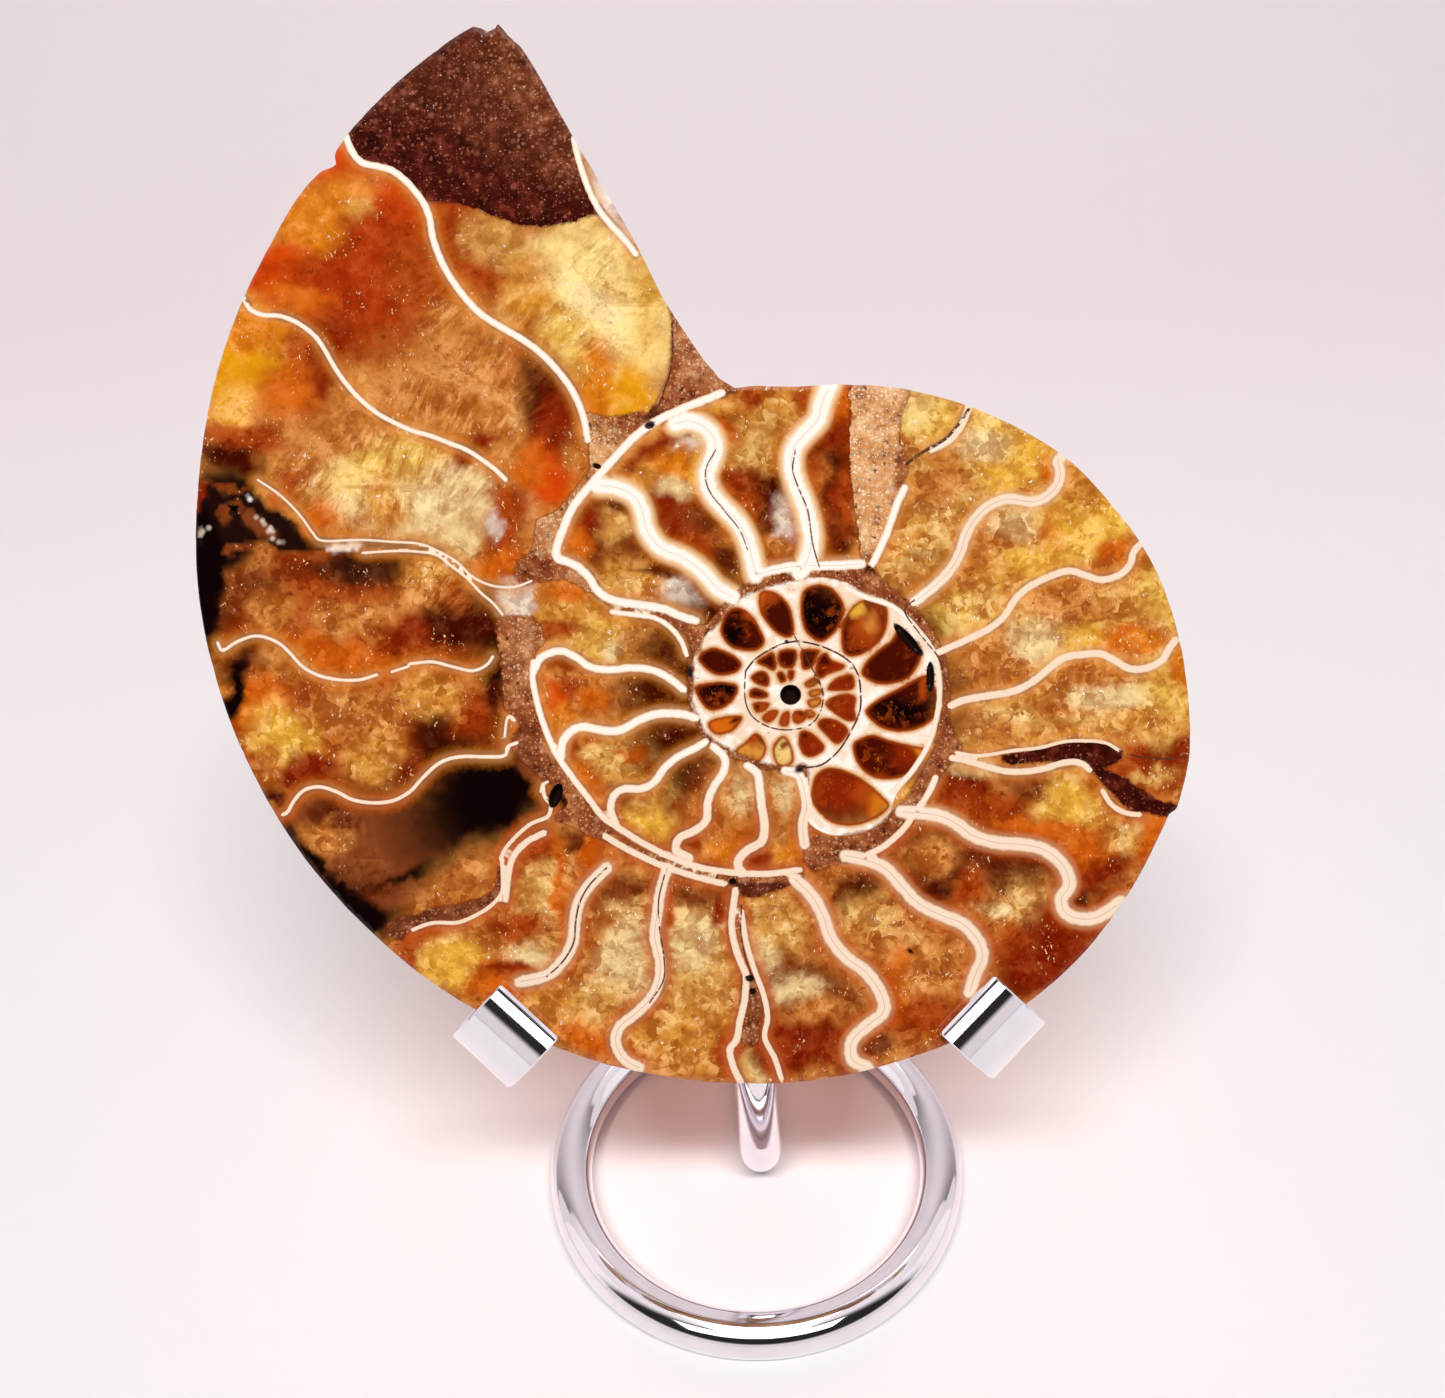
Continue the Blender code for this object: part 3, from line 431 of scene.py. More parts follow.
# Patches of colour, laid one over another: middle, half sizes, turn in degrees, colour, softness
PATCHES = (
    # first chamber, under the body chamber's sediment
    (570, 300, 130, 110, 0, "pale", 0.3), (470, 225, 55, 32, 20, "olive", 0.6),
    (468, 262, 24, 36, 30, "honey", 0.6), (545, 226, 70, 13, 5, "olive", 0.9),
    (520, 300, 60, 22, 45, "gold", 0.6), (600, 262, 55, 34, 20, "pale", 0.6),
    (590, 385, 22, 45, 0, "amber", 0.5), (630, 395, 25, 34, 0, "gold", 0.6),
    (592, 305, 26, 12, 40, "cream", 0.7), (648, 300, 16, 60, 0, "straw", 0.8),
    (556, 350, 36, 18, 48, "straw", 0.7),
    # second chamber
    (400, 300, 190, 90, -52, "rust", 0.2), (330, 165, 42, 22, 0, "flame", 0.6),
    (310, 225, 34, 46, -30, "amber", 0.6), (358, 205, 46, 24, 20, "amber", 0.7),
    (368, 212, 18, 14, 0, "straw", 0.8), (275, 275, 34, 30, -50, "flame", 0.5),
    (402, 215, 18, 40, -20, "flame", 0.7), (385, 255, 44, 50, 0, "scarlet", 0.5),
    (340, 290, 60, 34, 0, "scarlet", 0.7), (420, 275, 34, 44, -30, "rust", 0.6),
    (445, 320, 38, 26, -40, "tan", 0.6), (300, 300, 34, 12, 15, "orange", 0.8),
    (385, 365, 60, 30, -40, "rust", 0.6), (450, 355, 34, 20, 0, "maroon", 0.7),
    (480, 400, 75, 34, -25, "tan", 0.5), (520, 350, 46, 18, -42, "rust", 0.7),
    (545, 395, 26, 44, -25, "maroon", 0.6), (555, 430, 22, 42, 0, "red brown", 0.7),
    (440, 420, 60, 18, -25, "honey", 0.7), (548, 480, 26, 34, -30, "flame", 0.6),
    (528, 462, 26, 22, -30, "orange", 0.7), (506, 450, 26, 16, -30, "tan", 0.7),
    # third chamber
    (360, 450, 190, 70, -40, "tan", 0.2), (238, 370, 36, 60, 10, "gold", 0.5),
    (255, 330, 40, 18, 0, "amber", 0.7), (330, 360, 20, 46, 25, "red brown", 0.6),
    (290, 400, 26, 34, 0, "orange", 0.8), (320, 440, 60, 30, 0, "tan", 0.6),
    (240, 440, 44, 18, 10, "rust", 0.7), (230, 462, 34, 16, 20, "maroon", 0.7),
    (290, 490, 22, 12, -40, "rust", 0.8), (320, 520, 24, 12, -40, "orange", 0.7),
    (420, 500, 90, 36, 5, "cream", 0.5), (380, 470, 60, 24, -20, "straw", 0.7),
    (385, 505, 20, 26, 0, "honey", 0.8), (480, 455, 34, 10, -30, "red brown", 0.6),
    (508, 520, 20, 50, -12, "rust", 0.5), (500, 525, 12, 10, 0, "grey", 0.6),
    (505, 565, 26, 18, 0, "orange", 0.6), (455, 545, 26, 16, -40, "cream", 0.7),
    # fourth chamber
    (350, 610, 160, 62, 5, "rust", 0.2), (215, 550, 26, 70, 0, "black", 0.6),
    (255, 570, 22, 20, 0, "tan", 0.8), (250, 590, 40, 26, 0, "brown", 0.9),
    (270, 615, 22, 22, 0, "tan", 0.8), (360, 570, 55, 16, 0, "umber", 0.9),
    (430, 570, 30, 18, -20, "honey", 0.8), (350, 620, 40, 22, 0, "tan", 0.8),
    (420, 600, 34, 18, 0, "tan", 0.8), (450, 630, 46, 20, 0, "maroon", 0.6),
    (485, 610, 22, 30, 0, "maroon", 0.7), (330, 655, 60, 14, 12, "orange", 0.7),
    (405, 640, 24, 12, 0, "red brown", 0.8), (205, 600, 12, 60, 0, "black", 0.8),
    # fifth chamber
    (360, 735, 150, 60, 0, "rust", 0.2), (250, 660, 34, 22, 0, "bark", 0.7),
    (285, 665, 22, 18, 0, "tan", 0.7), (255, 705, 34, 26, 20, "orange", 0.7),
    (285, 735, 36, 26, 20, "yellow", 0.7), (360, 710, 60, 26, 0, "tan", 0.6),
    (430, 700, 30, 24, 0, "honey", 0.8), (440, 738, 34, 20, 0, "maroon", 0.7),
    (480, 715, 26, 24, 0, "rust", 0.8), (310, 775, 44, 16, 0, "red brown", 0.6),
    (370, 760, 30, 30, 0, "honey", 0.8), (410, 770, 24, 14, -20, "red brown", 0.8),
    (262, 775, 18, 22, 30, "tan", 0.7), (275, 800, 18, 10, 30, "maroon", 0.8),
    (497, 660, 16, 34, 0, "black", 0.7), (492, 700, 12, 20, 0, "maroon", 0.8),
    (228, 700, 9, 60, 20, "black", 0.6),
    # smooth dark chamber under the fifth septum
    (400, 860, 130, 62, 5, "bark", 0.3), (330, 830, 50, 36, 20, "cocoa", 0.7),
    (325, 835, 22, 16, 0, "tan", 0.9), (400, 840, 60, 30, 40, "cocoa", 0.8),
    (465, 815, 66, 66, 0, "dusk", 0.9), (495, 798, 58, 56, 0, "black", 0.7),
    (508, 775, 34, 24, 0, "black", 0.4), (340, 820, 24, 8, 30, "bark", 0.9),
    (430, 888, 70, 12, -14, "cocoa", 0.7), (470, 880, 26, 12, -20, "brown", 0.8),
    (437, 868, 66, 5, -13, "black", 0.8), (345, 900, 50, 14, 38, "black", 0.7),
    (305, 850, 40, 7, 52, "black", 0.8), (380, 915, 40, 14, 20, "black", 0.8),
    # the black patch at (556, 798) is painted shade in the open hole there
    (530, 768, 18, 11, 40, "cocoa", 0.5), (556, 798, 8, 15, -15, "black", 0.5),
    # chambers along the bottom
    (500, 930, 110, 80, -30, "tan", 0.2), (420, 950, 34, 22, -30, "rust", 0.7),
    (455, 965, 34, 22, -30, "yellow", 0.6), (490, 980, 22, 20, 0, "orange", 0.7),
    (540, 900, 26, 70, 0, "sand", 0.6), (560, 850, 36, 14, 0, "bark", 0.7),
    (530, 850, 16, 24, 30, "rust", 0.7), (590, 860, 12, 26, 20, "orange", 0.7),
    (520, 925, 30, 18, 0, "rust", 0.8), (540, 958, 34, 12, 0, "cream", 0.8),
    (560, 900, 8, 60, -8, "orange", 0.8), (520, 973, 44, 7, 0, "red brown", 0.8),
    (615, 950, 44, 80, 8, "tan", 0.3), (620, 900, 22, 24, 0, "olive", 0.8),
    (625, 960, 28, 40, 0, "cream", 0.7), (648, 985, 18, 14, 0, "cream", 0.8),
    (560, 1010, 46, 26, 0, "honey", 0.6), (620, 890, 34, 14, -20, "brown", 0.8),
    (665, 890, 12, 20, 0, "red brown", 0.8), (590, 1042, 34, 14, 20, "orange", 0.7),
    (600, 1000, 30, 20, 0, "sand", 0.8), (640, 1040, 26, 14, 0, "honey", 0.8),
    (695, 970, 44, 80, 0, "sand", 0.4), (700, 895, 30, 12, 0, "brown", 0.7),
    (668, 930, 8, 50, 0, "rust", 0.8), (700, 1040, 46, 32, 0, "honey", 0.7),
    (725, 1055, 16, 26, 0, "rust", 0.7), (700, 945, 24, 30, 0, "cream", 0.8),
    (722, 915, 8, 16, 0, "red brown", 0.8),
    (757, 1065, 20, 22, 0, "pale", 0.4), (775, 930, 34, 34, 0, "sand", 0.6),
    (790, 985, 40, 30, -20, "brown", 0.7), (800, 990, 26, 16, 0, "cream", 0.9),
    (760, 960, 16, 14, 0, "cream", 0.8), (795, 1040, 46, 34, -10, "red brown", 0.5),
    (830, 1040, 30, 34, 0, "red brown", 0.7), (848, 990, 28, 24, 0, "brown", 0.7),
    (820, 1010, 26, 14, 0, "tan", 0.9),
    (900, 950, 60, 60, -35, "tan", 0.4), (860, 895, 30, 26, 0, "bark", 0.6),
    (870, 915, 30, 22, 0, "sand", 0.9), (880, 875, 14, 12, 0, "maroon", 0.8),
    (935, 935, 26, 20, -30, "sand", 0.9), (965, 950, 8, 22, 0, "red brown", 0.8),
    (925, 1010, 50, 30, -10, "rust", 0.5), (895, 985, 18, 30, 0, "orange", 0.8),
    (880, 1045, 14, 12, 0, "bark", 0.6), (930, 985, 30, 14, 0, "tan", 0.9),
    # lower right
    (1000, 920, 110, 90, 35, "tan", 0.2), (940, 860, 50, 34, 0, "brown", 0.6),
    (930, 858, 24, 16, 0, "tan", 0.9), (1010, 870, 50, 24, 0, "bark", 0.6),
    (930, 895, 30, 16, 0, "maroon", 0.7), (1025, 915, 26, 30, 0, "sand", 0.9),
    (1060, 940, 40, 34, 40, "red brown", 0.6), (1030, 965, 44, 30, -30, "red brown", 0.6),
    (1000, 945, 20, 20, 0, "rust", 0.8), (970, 890, 14, 20, 0, "rust", 0.8),
    (1090, 930, 50, 8, -48, "red brown", 0.8), (990, 910, 10, 8, 0, "cream", 0.8),
    (1080, 810, 120, 46, 5, "tan", 0.2), (955, 790, 34, 24, 0, "red brown", 0.6),
    (1000, 815, 50, 20, 10, "rust", 0.7), (1070, 800, 34, 26, 0, "yellow", 0.8),
    (1030, 785, 26, 14, 0, "brown", 0.8), (1120, 840, 30, 18, -20, "sand", 0.9),
    (1040, 828, 50, 10, 5, "orange", 0.8), (1100, 875, 40, 22, -20, "red brown", 0.5),
    (1085, 895, 16, 12, 0, "maroon", 0.7), (1085, 850, 26, 18, 0, "orange", 0.8),
    (1150, 830, 14, 34, 20, "orange", 0.7), (1140, 770, 54, 26, 0, "rust", 0.5),
    (1150, 778, 30, 6, -8, "sand", 0.9), (970, 768, 34, 9, 8, "cream", 0.8),
    (1170, 755, 30, 14, -10, "red brown", 0.7),
    # right
    (1060, 715, 130, 34, -4, "sand", 0.2), (960, 720, 26, 14, 0, "tan", 0.7),
    (1000, 735, 26, 12, 0, "tan", 0.8), (1090, 670, 36, 14, 0, "tan", 0.6),
    (1060, 700, 30, 16, 0, "tan", 0.8), (1110, 695, 40, 14, 0, "cream", 0.8),
    (1165, 700, 24, 50, 5, "straw", 0.6), (1140, 725, 40, 16, 0, "honey", 0.7),
    (1180, 670, 10, 20, 0, "amber", 0.7), (1060, 735, 40, 8, 0, "honey", 0.8),
    (1050, 625, 120, 34, -14, "straw", 0.2), (970, 670, 28, 30, 0, "tan", 0.6),
    (1010, 650, 30, 20, -20, "tan", 0.9), (1060, 590, 36, 18, 0, "tan", 0.6),
    (1070, 610, 44, 20, 0, "tan", 0.7), (1040, 640, 30, 16, 0, "cream", 0.9),
    (1130, 600, 30, 24, 0, "honey", 0.7), (1150, 650, 26, 12, -10, "orange", 0.6),
    (1120, 645, 22, 14, 0, "orange", 0.8), (1165, 600, 22, 34, -20, "straw", 0.7),
    (1085, 640, 20, 14, 0, "yellow", 0.8), (1110, 615, 12, 12, 0, "tan", 0.8),
    (1050, 530, 110, 40, -28, "straw", 0.2), (1000, 530, 34, 26, 0, "tan", 0.7),
    (1015, 520, 20, 16, 0, "cream", 0.9), (985, 560, 34, 18, 0, "tan", 0.7),
    (970, 577, 14, 12, 0, "tan", 0.6), (1055, 530, 18, 22, 0, "orange", 0.8),
    (1035, 560, 26, 16, 0, "yellow", 0.8), (1090, 520, 40, 30, -40, "yellow", 0.6),
    (1110, 555, 24, 16, 0, "orange", 0.7), (1100, 570, 14, 10, 0, "tan", 0.8),
    (980, 600, 40, 16, -30, "sand", 0.7), (945, 615, 26, 20, -35, "straw", 0.6),
    (1075, 480, 20, 26, -30, "honey", 0.7), (1000, 575, 20, 12, 0, "honey", 0.8),
    (980, 460, 90, 44, -25, "olive", 0.2), (925, 530, 30, 34, 0, "sand", 0.6),
    (930, 555, 34, 22, -30, "olive", 0.7), (990, 425, 34, 18, 30, "straw", 0.6),
    (1030, 460, 30, 24, 40, "yellow", 0.6), (1048, 475, 14, 12, 0, "orange", 0.6),
    (960, 450, 16, 12, 0, "honey", 0.8), (940, 480, 26, 20, 0, "tan", 0.8),
    (985, 450, 26, 14, 0, "cream", 0.8), (1000, 480, 26, 12, 0, "yellow", 0.8),
    (905, 540, 10, 26, 20, "honey", 0.8), (885, 570, 14, 10, -30, "olive", 0.8),
    (935, 415, 34, 24, 0, "straw", 0.4), (915, 405, 16, 20, 0, "pale", 0.8),
    (912, 437, 10, 5, 0, "tan", 0.8),
    # beside the sandy band, at the top
    (840, 430, 26, 70, 0, "rust", 0.3), (838, 402, 12, 18, 0, "orange", 0.6),
    (825, 440, 20, 12, 0, "red brown", 0.6), (832, 480, 20, 26, 0, "maroon", 0.6),
    (812, 455, 12, 12, 0, "maroon", 0.7), (840, 525, 16, 26, 0, "bark", 0.6),
    (835, 545, 12, 8, 0, "maroon", 0.7), (848, 500, 10, 30, 0, "rust", 0.8),
    (822, 480, 10, 16, 0, "tan", 0.9),
    # second whorl, top
    (765, 490, 60, 100, -20, "rust", 0.2), (760, 410, 34, 22, 0, "honey", 0.6),
    (745, 400, 14, 10, 0, "rust", 0.8), (800, 405, 10, 14, 0, "rust", 0.6),
    (765, 430, 26, 18, 0, "olive", 0.8), (730, 440, 14, 10, 0, "flame", 0.7),
    (755, 450, 30, 20, 0, "olive", 0.7), (780, 455, 12, 20, 0, "amber", 0.8),
    (735, 480, 22, 18, 0, "red brown", 0.5), (770, 490, 26, 20, 0, "maroon", 0.7),
    (785, 520, 16, 24, 0, "grey", 0.8), (760, 520, 16, 18, 0, "bark", 0.8),
    (780, 545, 18, 14, 0, "tan", 0.8), (720, 410, 12, 8, -20, "honey", 0.8),
    (685, 520, 70, 50, -40, "rust", 0.2), (660, 515, 22, 32, 0, "red brown", 0.4),
    (690, 440, 22, 14, 0, "grey", 0.5), (650, 455, 30, 12, -35, "red brown", 0.6),
    (675, 470, 26, 16, 0, "amber", 0.7), (672, 490, 22, 10, 0, "cream", 0.8),
    (645, 480, 8, 18, 0, "honey", 0.8), (700, 520, 20, 18, 0, "brown", 0.8),
    (722, 535, 14, 18, 0, "tan", 0.8), (725, 560, 20, 18, 0, "bark", 0.6),
    (700, 470, 8, 22, 0, "yellow", 0.8), (688, 437, 8, 5, 0, "maroon", 0.7),
    (610, 545, 50, 50, -40, "brown", 0.2), (615, 525, 22, 18, 0, "sand", 0.7),
    (590, 530, 14, 20, 30, "red brown", 0.6), (620, 500, 16, 8, 0, "maroon", 0.6),
    (580, 545, 16, 12, 0, "orange", 0.8), (640, 570, 30, 18, 10, "honey", 0.8),
    (680, 590, 26, 16, 10, "grey", 0.6), (660, 568, 24, 8, 15, "bark", 0.7),
    (620, 585, 22, 12, 10, "sand", 0.8), (710, 605, 8, 10, 0, "red brown", 0.7),
    # second whorl, left and bottom
    (610, 630, 80, 30, 10, "honey", 0.2), (560, 600, 26, 22, 0, "honey", 0.6),
    (565, 590, 20, 12, 0, "orange", 0.9), (590, 640, 26, 20, 0, "straw", 0.6),
    (612, 650, 10, 12, 0, "cream", 0.8), (638, 620, 12, 8, 0, "bark", 0.5),
    (650, 640, 26, 18, 10, "tan", 0.7), (555, 635, 18, 10, 0, "rust", 0.8),
    (662, 655, 20, 10, 20, "honey", 0.8), (580, 655, 16, 5, 15, "red brown", 0.7),
    (610, 698, 70, 24, 4, "tan", 0.2), (562, 665, 22, 8, 0, "red brown", 0.6),
    (555, 700, 16, 16, 0, "flame", 0.7), (575, 690, 14, 10, 0, "rust", 0.7),
    (600, 700, 14, 14, 0, "orange", 0.6), (560, 718, 18, 12, 0, "amber", 0.8),
    (640, 690, 24, 14, 0, "tan", 0.8), (668, 690, 12, 12, 0, "rust", 0.7),
    (640, 762, 76, 32, -6, "sand", 0.2), (570, 745, 8, 20, 0, "red brown", 0.6),
    (632, 757, 12, 12, 0, "orange", 0.4), (650, 775, 10, 12, 0, "rust", 0.6),
    (590, 780, 24, 12, 40, "orange", 0.8), (680, 730, 22, 10, -10, "rust", 0.6),
    (592, 738, 8, 6, 0, "rust", 0.7), (640, 735, 20, 8, 0, "tan", 0.8),
    (660, 815, 50, 34, -30, "olive", 0.2), (690, 775, 22, 16, 0, "sand", 0.8),
    (625, 800, 10, 10, 0, "bark", 0.7), (685, 810, 14, 8, 0, "rust", 0.7),
    (650, 830, 26, 16, 30, "yellow", 0.8), (710, 758, 10, 8, 0, "brown", 0.7),
    (735, 815, 26, 46, 0, "tan", 0.3), (745, 785, 16, 18, 0, "olive", 0.8),
    (690, 843, 16, 10, 0, "red brown", 0.5), (730, 850, 20, 14, 0, "amber", 0.7),
    (740, 830, 18, 12, 0, "orange", 0.9), (735, 785, 8, 10, 0, "rust", 0.9),
    (785, 820, 22, 46, 0, "sand", 0.3), (785, 790, 18, 16, 0, "olive", 0.8),
    (785, 850, 20, 16, 0, "amber", 0.6), (755, 860, 12, 10, 0, "red brown", 0.5),
    (775, 830, 14, 10, 0, "honey", 0.9),
    # fillings of the small whorls
    (791, 700, 170, 130, 0, "maroon", 0.05), (868, 625, 16, 22, 20, "red brown", 0.9),
    (765, 605, 16, 10, -30, "rust", 0.9), (840, 790, 34, 20, 0, "red brown", 0.9),
    (875, 790, 14, 12, 0, "flame", 0.9), (905, 752, 16, 14, 0, "red brown", 0.9),
    (820, 612, 20, 26, 0, "black", 0.9), (736, 630, 14, 16, 0, "black", 0.9),
    (716, 692, 16, 10, 0, "black", 0.9), (900, 708, 30, 16, 0, "black", 0.9),
    (725, 726, 16, 9, 0, "orange", 0.4), (752, 752, 18, 14, 0, "honey", 0.4),
    (783, 753, 12, 18, 0, "pale", 0.5), (784, 745, 4, 6, 0, "brown", 0.8),
    (754, 742, 6, 5, 0, "rust", 0.8), (752, 756, 4, 4, 0, "rust", 0.8),
    (736, 723, 5, 4, 0, "maroon", 0.8), (770, 716, 12, 8, 0, "rust", 0.5),
    (784, 719, 8, 9, 0, "rust", 0.5), (800, 717, 9, 7, 0, "rust", 0.5),
    (813, 693, 10, 18, 0, "honey", 0.4), (842, 684, 16, 10, 0, "red brown", 0.5),
    (842, 707, 18, 16, 0, "red brown", 0.5), (832, 730, 16, 14, 0, "red brown", 0.5),
    (810, 745, 14, 14, 0, "red brown", 0.5), (838, 668, 14, 10, 0, "red brown", 0.6),
    (855, 600, 10, 14, 0, "yellow", 0.5), (935, 742, 12, 8, -10, "yellow", 0.5),
    (900, 792, 16, 10, -40, "yellow", 0.5),
    # glassy hollow at the left rim; its small ivory and grey spots are painted glints, and the
    # black dot at its small hole is painted shade
    (225, 520, 42, 44, 0, "glass", 0.0), (205, 560, 22, 50, 0, "black", 0.0),
    (275, 528, 44, 16, 32, "glass", 0.0), (330, 548, 30, 8, 5, "glass", 0.0),
    (395, 547, 50, 4, 2, "glass", 0.1), (232, 513, 11, 10, 0, "brown", 0.1),
    # black dot: painted shade in the small hole
    (232, 513, 6, 6, 0, "black", 0.0), (262, 528, 20, 7, 30, "cocoa", 0.2),
    (246, 545, 22, 4, -10, "brown", 0.2),
    (200, 500, 4, 14, 8, "red brown", 0.3), (222, 490, 24, 3, 4, "brown", 0.2),
    # painted glints: the ivory and grey spots on this line and the next
    (341, 549, 22, 6, 3, "ivory", 0.0), (249, 503, 3, 4, 20, "ivory", 0.0),
    (270, 530, 16, 2, 40, "grey", 0.0), (208, 534, 8, 2, -15, "grey", 0.0),
    (503, 240, 34, 28, 25, "olive", 0.6), (525, 285, 22, 30, 40, "honey", 0.8),
    (560, 330, 20, 24, 40, "straw", 0.8),
    # amber at the edges of the small chambers, paler chambers below them
    (802, 596, 5, 12, 0, "amber", 0.8), (866, 628, 16, 18, 0, "rust", 0.7),
    (872, 620, 8, 10, 0, "tan", 0.9), (902, 634, 14, 6, 40, "rust", 0.9),
    (926, 690, 8, 10, 0, "rust", 0.8), (924, 744, 10, 9, 0, "amber", 0.9),
    (880, 797, 9, 12, 30, "amber", 0.9), (868, 790, 12, 14, 0, "rust", 0.9),
    (762, 610, 6, 14, 0, "orange", 0.9), (742, 800, 20, 34, 10, "tan", 0.7),
    (748, 792, 11, 20, 0, "cream", 0.9), (786, 800, 18, 34, 0, "tan", 0.7),
    (786, 796, 10, 20, 0, "cream", 0.9), (708, 790, 16, 30, 20, "brown", 0.8),
    (700, 815, 18, 14, 0, "tan", 0.9), (1145, 648, 20, 10, 0, "amber", 0.8),
    # pale chips, and the broken edge by the body chamber: pale broken calcite, its shiny faces
    # partly a painted reflection
    (606, 190, 16, 66, -28, "grey", 0.2), (600, 200, 6, 20, -20, "ivory", 0.5),
    (598, 175, 5, 40, -22, "cocoa", 0.6),
    (696, 391, 14, 6, 10, "ivory", 0.2), (600, 467, 6, 3, -30, "ivory", 0.3),
    (515, 602, 20, 20, 0, "grey", 0.3), (588, 826, 16, 6, 15, "cream", 0.4),
)

# Dark hairline cracks: half width in pixels, points
CRACKS = (
    (0.7, ((672, 312), (673, 345), (671, 370), (665, 389), (657, 409), (643, 421))),
    (1.4, ((972, 405), (957, 427), (943, 441), (922, 453), (907, 464))),
    (0.5, ((794, 634), (798, 642), (806, 655), (812, 668), (820, 682), (824, 700))),
    (0.6, ((820, 568), (814, 548), (811, 530), (808, 510), (799, 488), (793, 470), (796, 450))),
    (0.5, ((716, 450), (706, 470), (709, 490), (724, 510), (740, 530), (748, 550))),
    (0.7, ((607, 868), (590, 885), (580, 903), (576, 923), (574, 943), (563, 962), (547, 977))),
    (0.7, ((742, 905), (741, 930), (745, 955), (752, 975))),
    (0.6, ((915, 600), (905, 612), (925, 640), (940, 660), (948, 690))),
    (0.8, ((746, 671), (755, 660), (770, 650), (787, 643), (803, 642), (826, 648), (848, 660),
           (858, 674), (861, 692), (860, 712), (851, 732), (839, 751), (822, 765), (803, 768))),
    (0.6, ((746, 671), (745, 690), (747, 706), (755, 719), (772, 728), (792, 730), (812, 724),
           (822, 708), (823, 690), (815, 677))),
    (0.8, ((1120, 751), (1140, 757), (1165, 759), (1190, 757))),
    (0.6, ((665, 875), (659, 900), (660, 930), (664, 955), (664, 980), (650, 1003))),
)

# Open holes in the face: middle and half sizes in pixels, turn, depth in millimetres
HOLES = (
    (791, 695, 10.6, 10.2, 0, 1.5), (556, 796, 6, 13, -20, 1.6), (931, 677, 4.2, 15.5, 0, 1.0),
    (909, 640, 22, 5.2, -48, 1.0), (650, 425, 6, 4, 20, 0.5), (733, 882, 4, 3.4, 0, 0.6),
    (750, 979, 5, 3.6, 0, 0.6), (753, 992, 4, 3.6, 0, 0.5), (911, 952, 4, 2.2, -40, 0.4),
    (787, 642, 2.2, 2.2, 0, 0.4), (597, 466, 5, 3, -20, 0.5), (852, 669, 2.4, 2.0, 0, 0.3),
    (233, 513, 5, 4, 0, 0.5), (690, 672, 3.4, 8, 0, 0.4), (800, 770, 6, 4, 20, 0.4),
)


def face_mm(points):
    """Photograph pixels to millimetres on the cut face, from the coil's centre."""
    spots = np.array(points, float)
    return (spots - PHOTO_CENTRE) * (1.0, -1.0) / PHOTO_SCALE


def smooth_line(points, closed=False):
    """A round curve through the points, as short straight steps."""
    spots = np.array(points, float)
    if closed:
        spots = np.vstack([spots[-1:], spots, spots[:2]])
    else:
        spots = np.vstack([2 * spots[0] - spots[1], spots, 2 * spots[-1] - spots[-2]])
    made = []
    for k in range(1, len(spots) - 2):
        before, start, end, after = spots[k - 1:k + 3]
        for j in range(LINE_STEPS):
            t = j / LINE_STEPS
            made.append(0.5 * (2 * start + (end - before) * t
                               + (2 * before - 5 * start + 4 * end - after) * t**2
                               + (3 * start - before - 3 * end + after) * t**3))
    made.append(spots[-2])
    return np.array(made)


def smooth_loop(points):
    """A round closed outline through points given in photograph pixels, in millimetres."""
    return smooth_line(face_mm(points), closed=True)[:-1]


def line_distance(spots, line):
    """Distance of each spot to a line of straight steps, its side, and place along it."""
    best = np.full(len(spots), 1e9)
    side = np.ones(len(spots))
    run = np.zeros(len(spots))
    gone = 0.0
    for start, end in zip(line, line[1:]):
        step = end - start
        length = step @ step
        if length < 1e-12:
            continue
        away = spots - start
        share = np.clip(away @ step / length, 0.0, 1.0)
        off = away - share[:, None] * step
        distance = np.hypot(off[:, 0], off[:, 1])
        closer = distance < best
        best[closer] = distance[closer]
        turn = step[0] * away[:, 1] - step[1] * away[:, 0]
        side[closer] = np.where(turn[closer] < 0.0, -1.0, 1.0)
        run[closer] = gone + share[closer] * math.sqrt(length)
        gone += math.sqrt(length)
    return best, side, run


def inside(spots, loop):
    """Which spots lie within a closed outline."""
    odd = np.zeros(len(spots), bool)
    for (x1, y1), (x2, y2) in zip(loop, np.roll(loop, -1, axis=0)):
        if y1 == y2:
            continue
        spans = (y1 > spots[:, 1]) != (y2 > spots[:, 1])
        odd ^= spans & (spots[:, 0] < x1 + (spots[:, 1] - y1) * (x2 - x1) / (y2 - y1))
    return odd


def near_box(spots, line, room):
    """Which spots lie near the box round a line."""
    low = line.min(axis=0) - room
    high = line.max(axis=0) + room
    return np.all((spots > low) & (spots < high), axis=1)


def area_distance(spots, loop, room=AREA_ROOM):
    """Distance into a closed outline, negative outside, worked out near it only."""
    depth = np.full(len(spots), -room)
    near = near_box(spots, loop, room)
    closed = np.vstack([loop, loop[:1]])
    distance, _, _ = line_distance(spots[near], closed)
    depth[near] = np.where(inside(spots[near], loop), distance, -np.minimum(distance, room))
    return depth


def ease(x):
    """Ease from 0 to 1."""
    x = np.clip(x, 0.0, 1.0)
    return x * x * (3 - 2 * x)


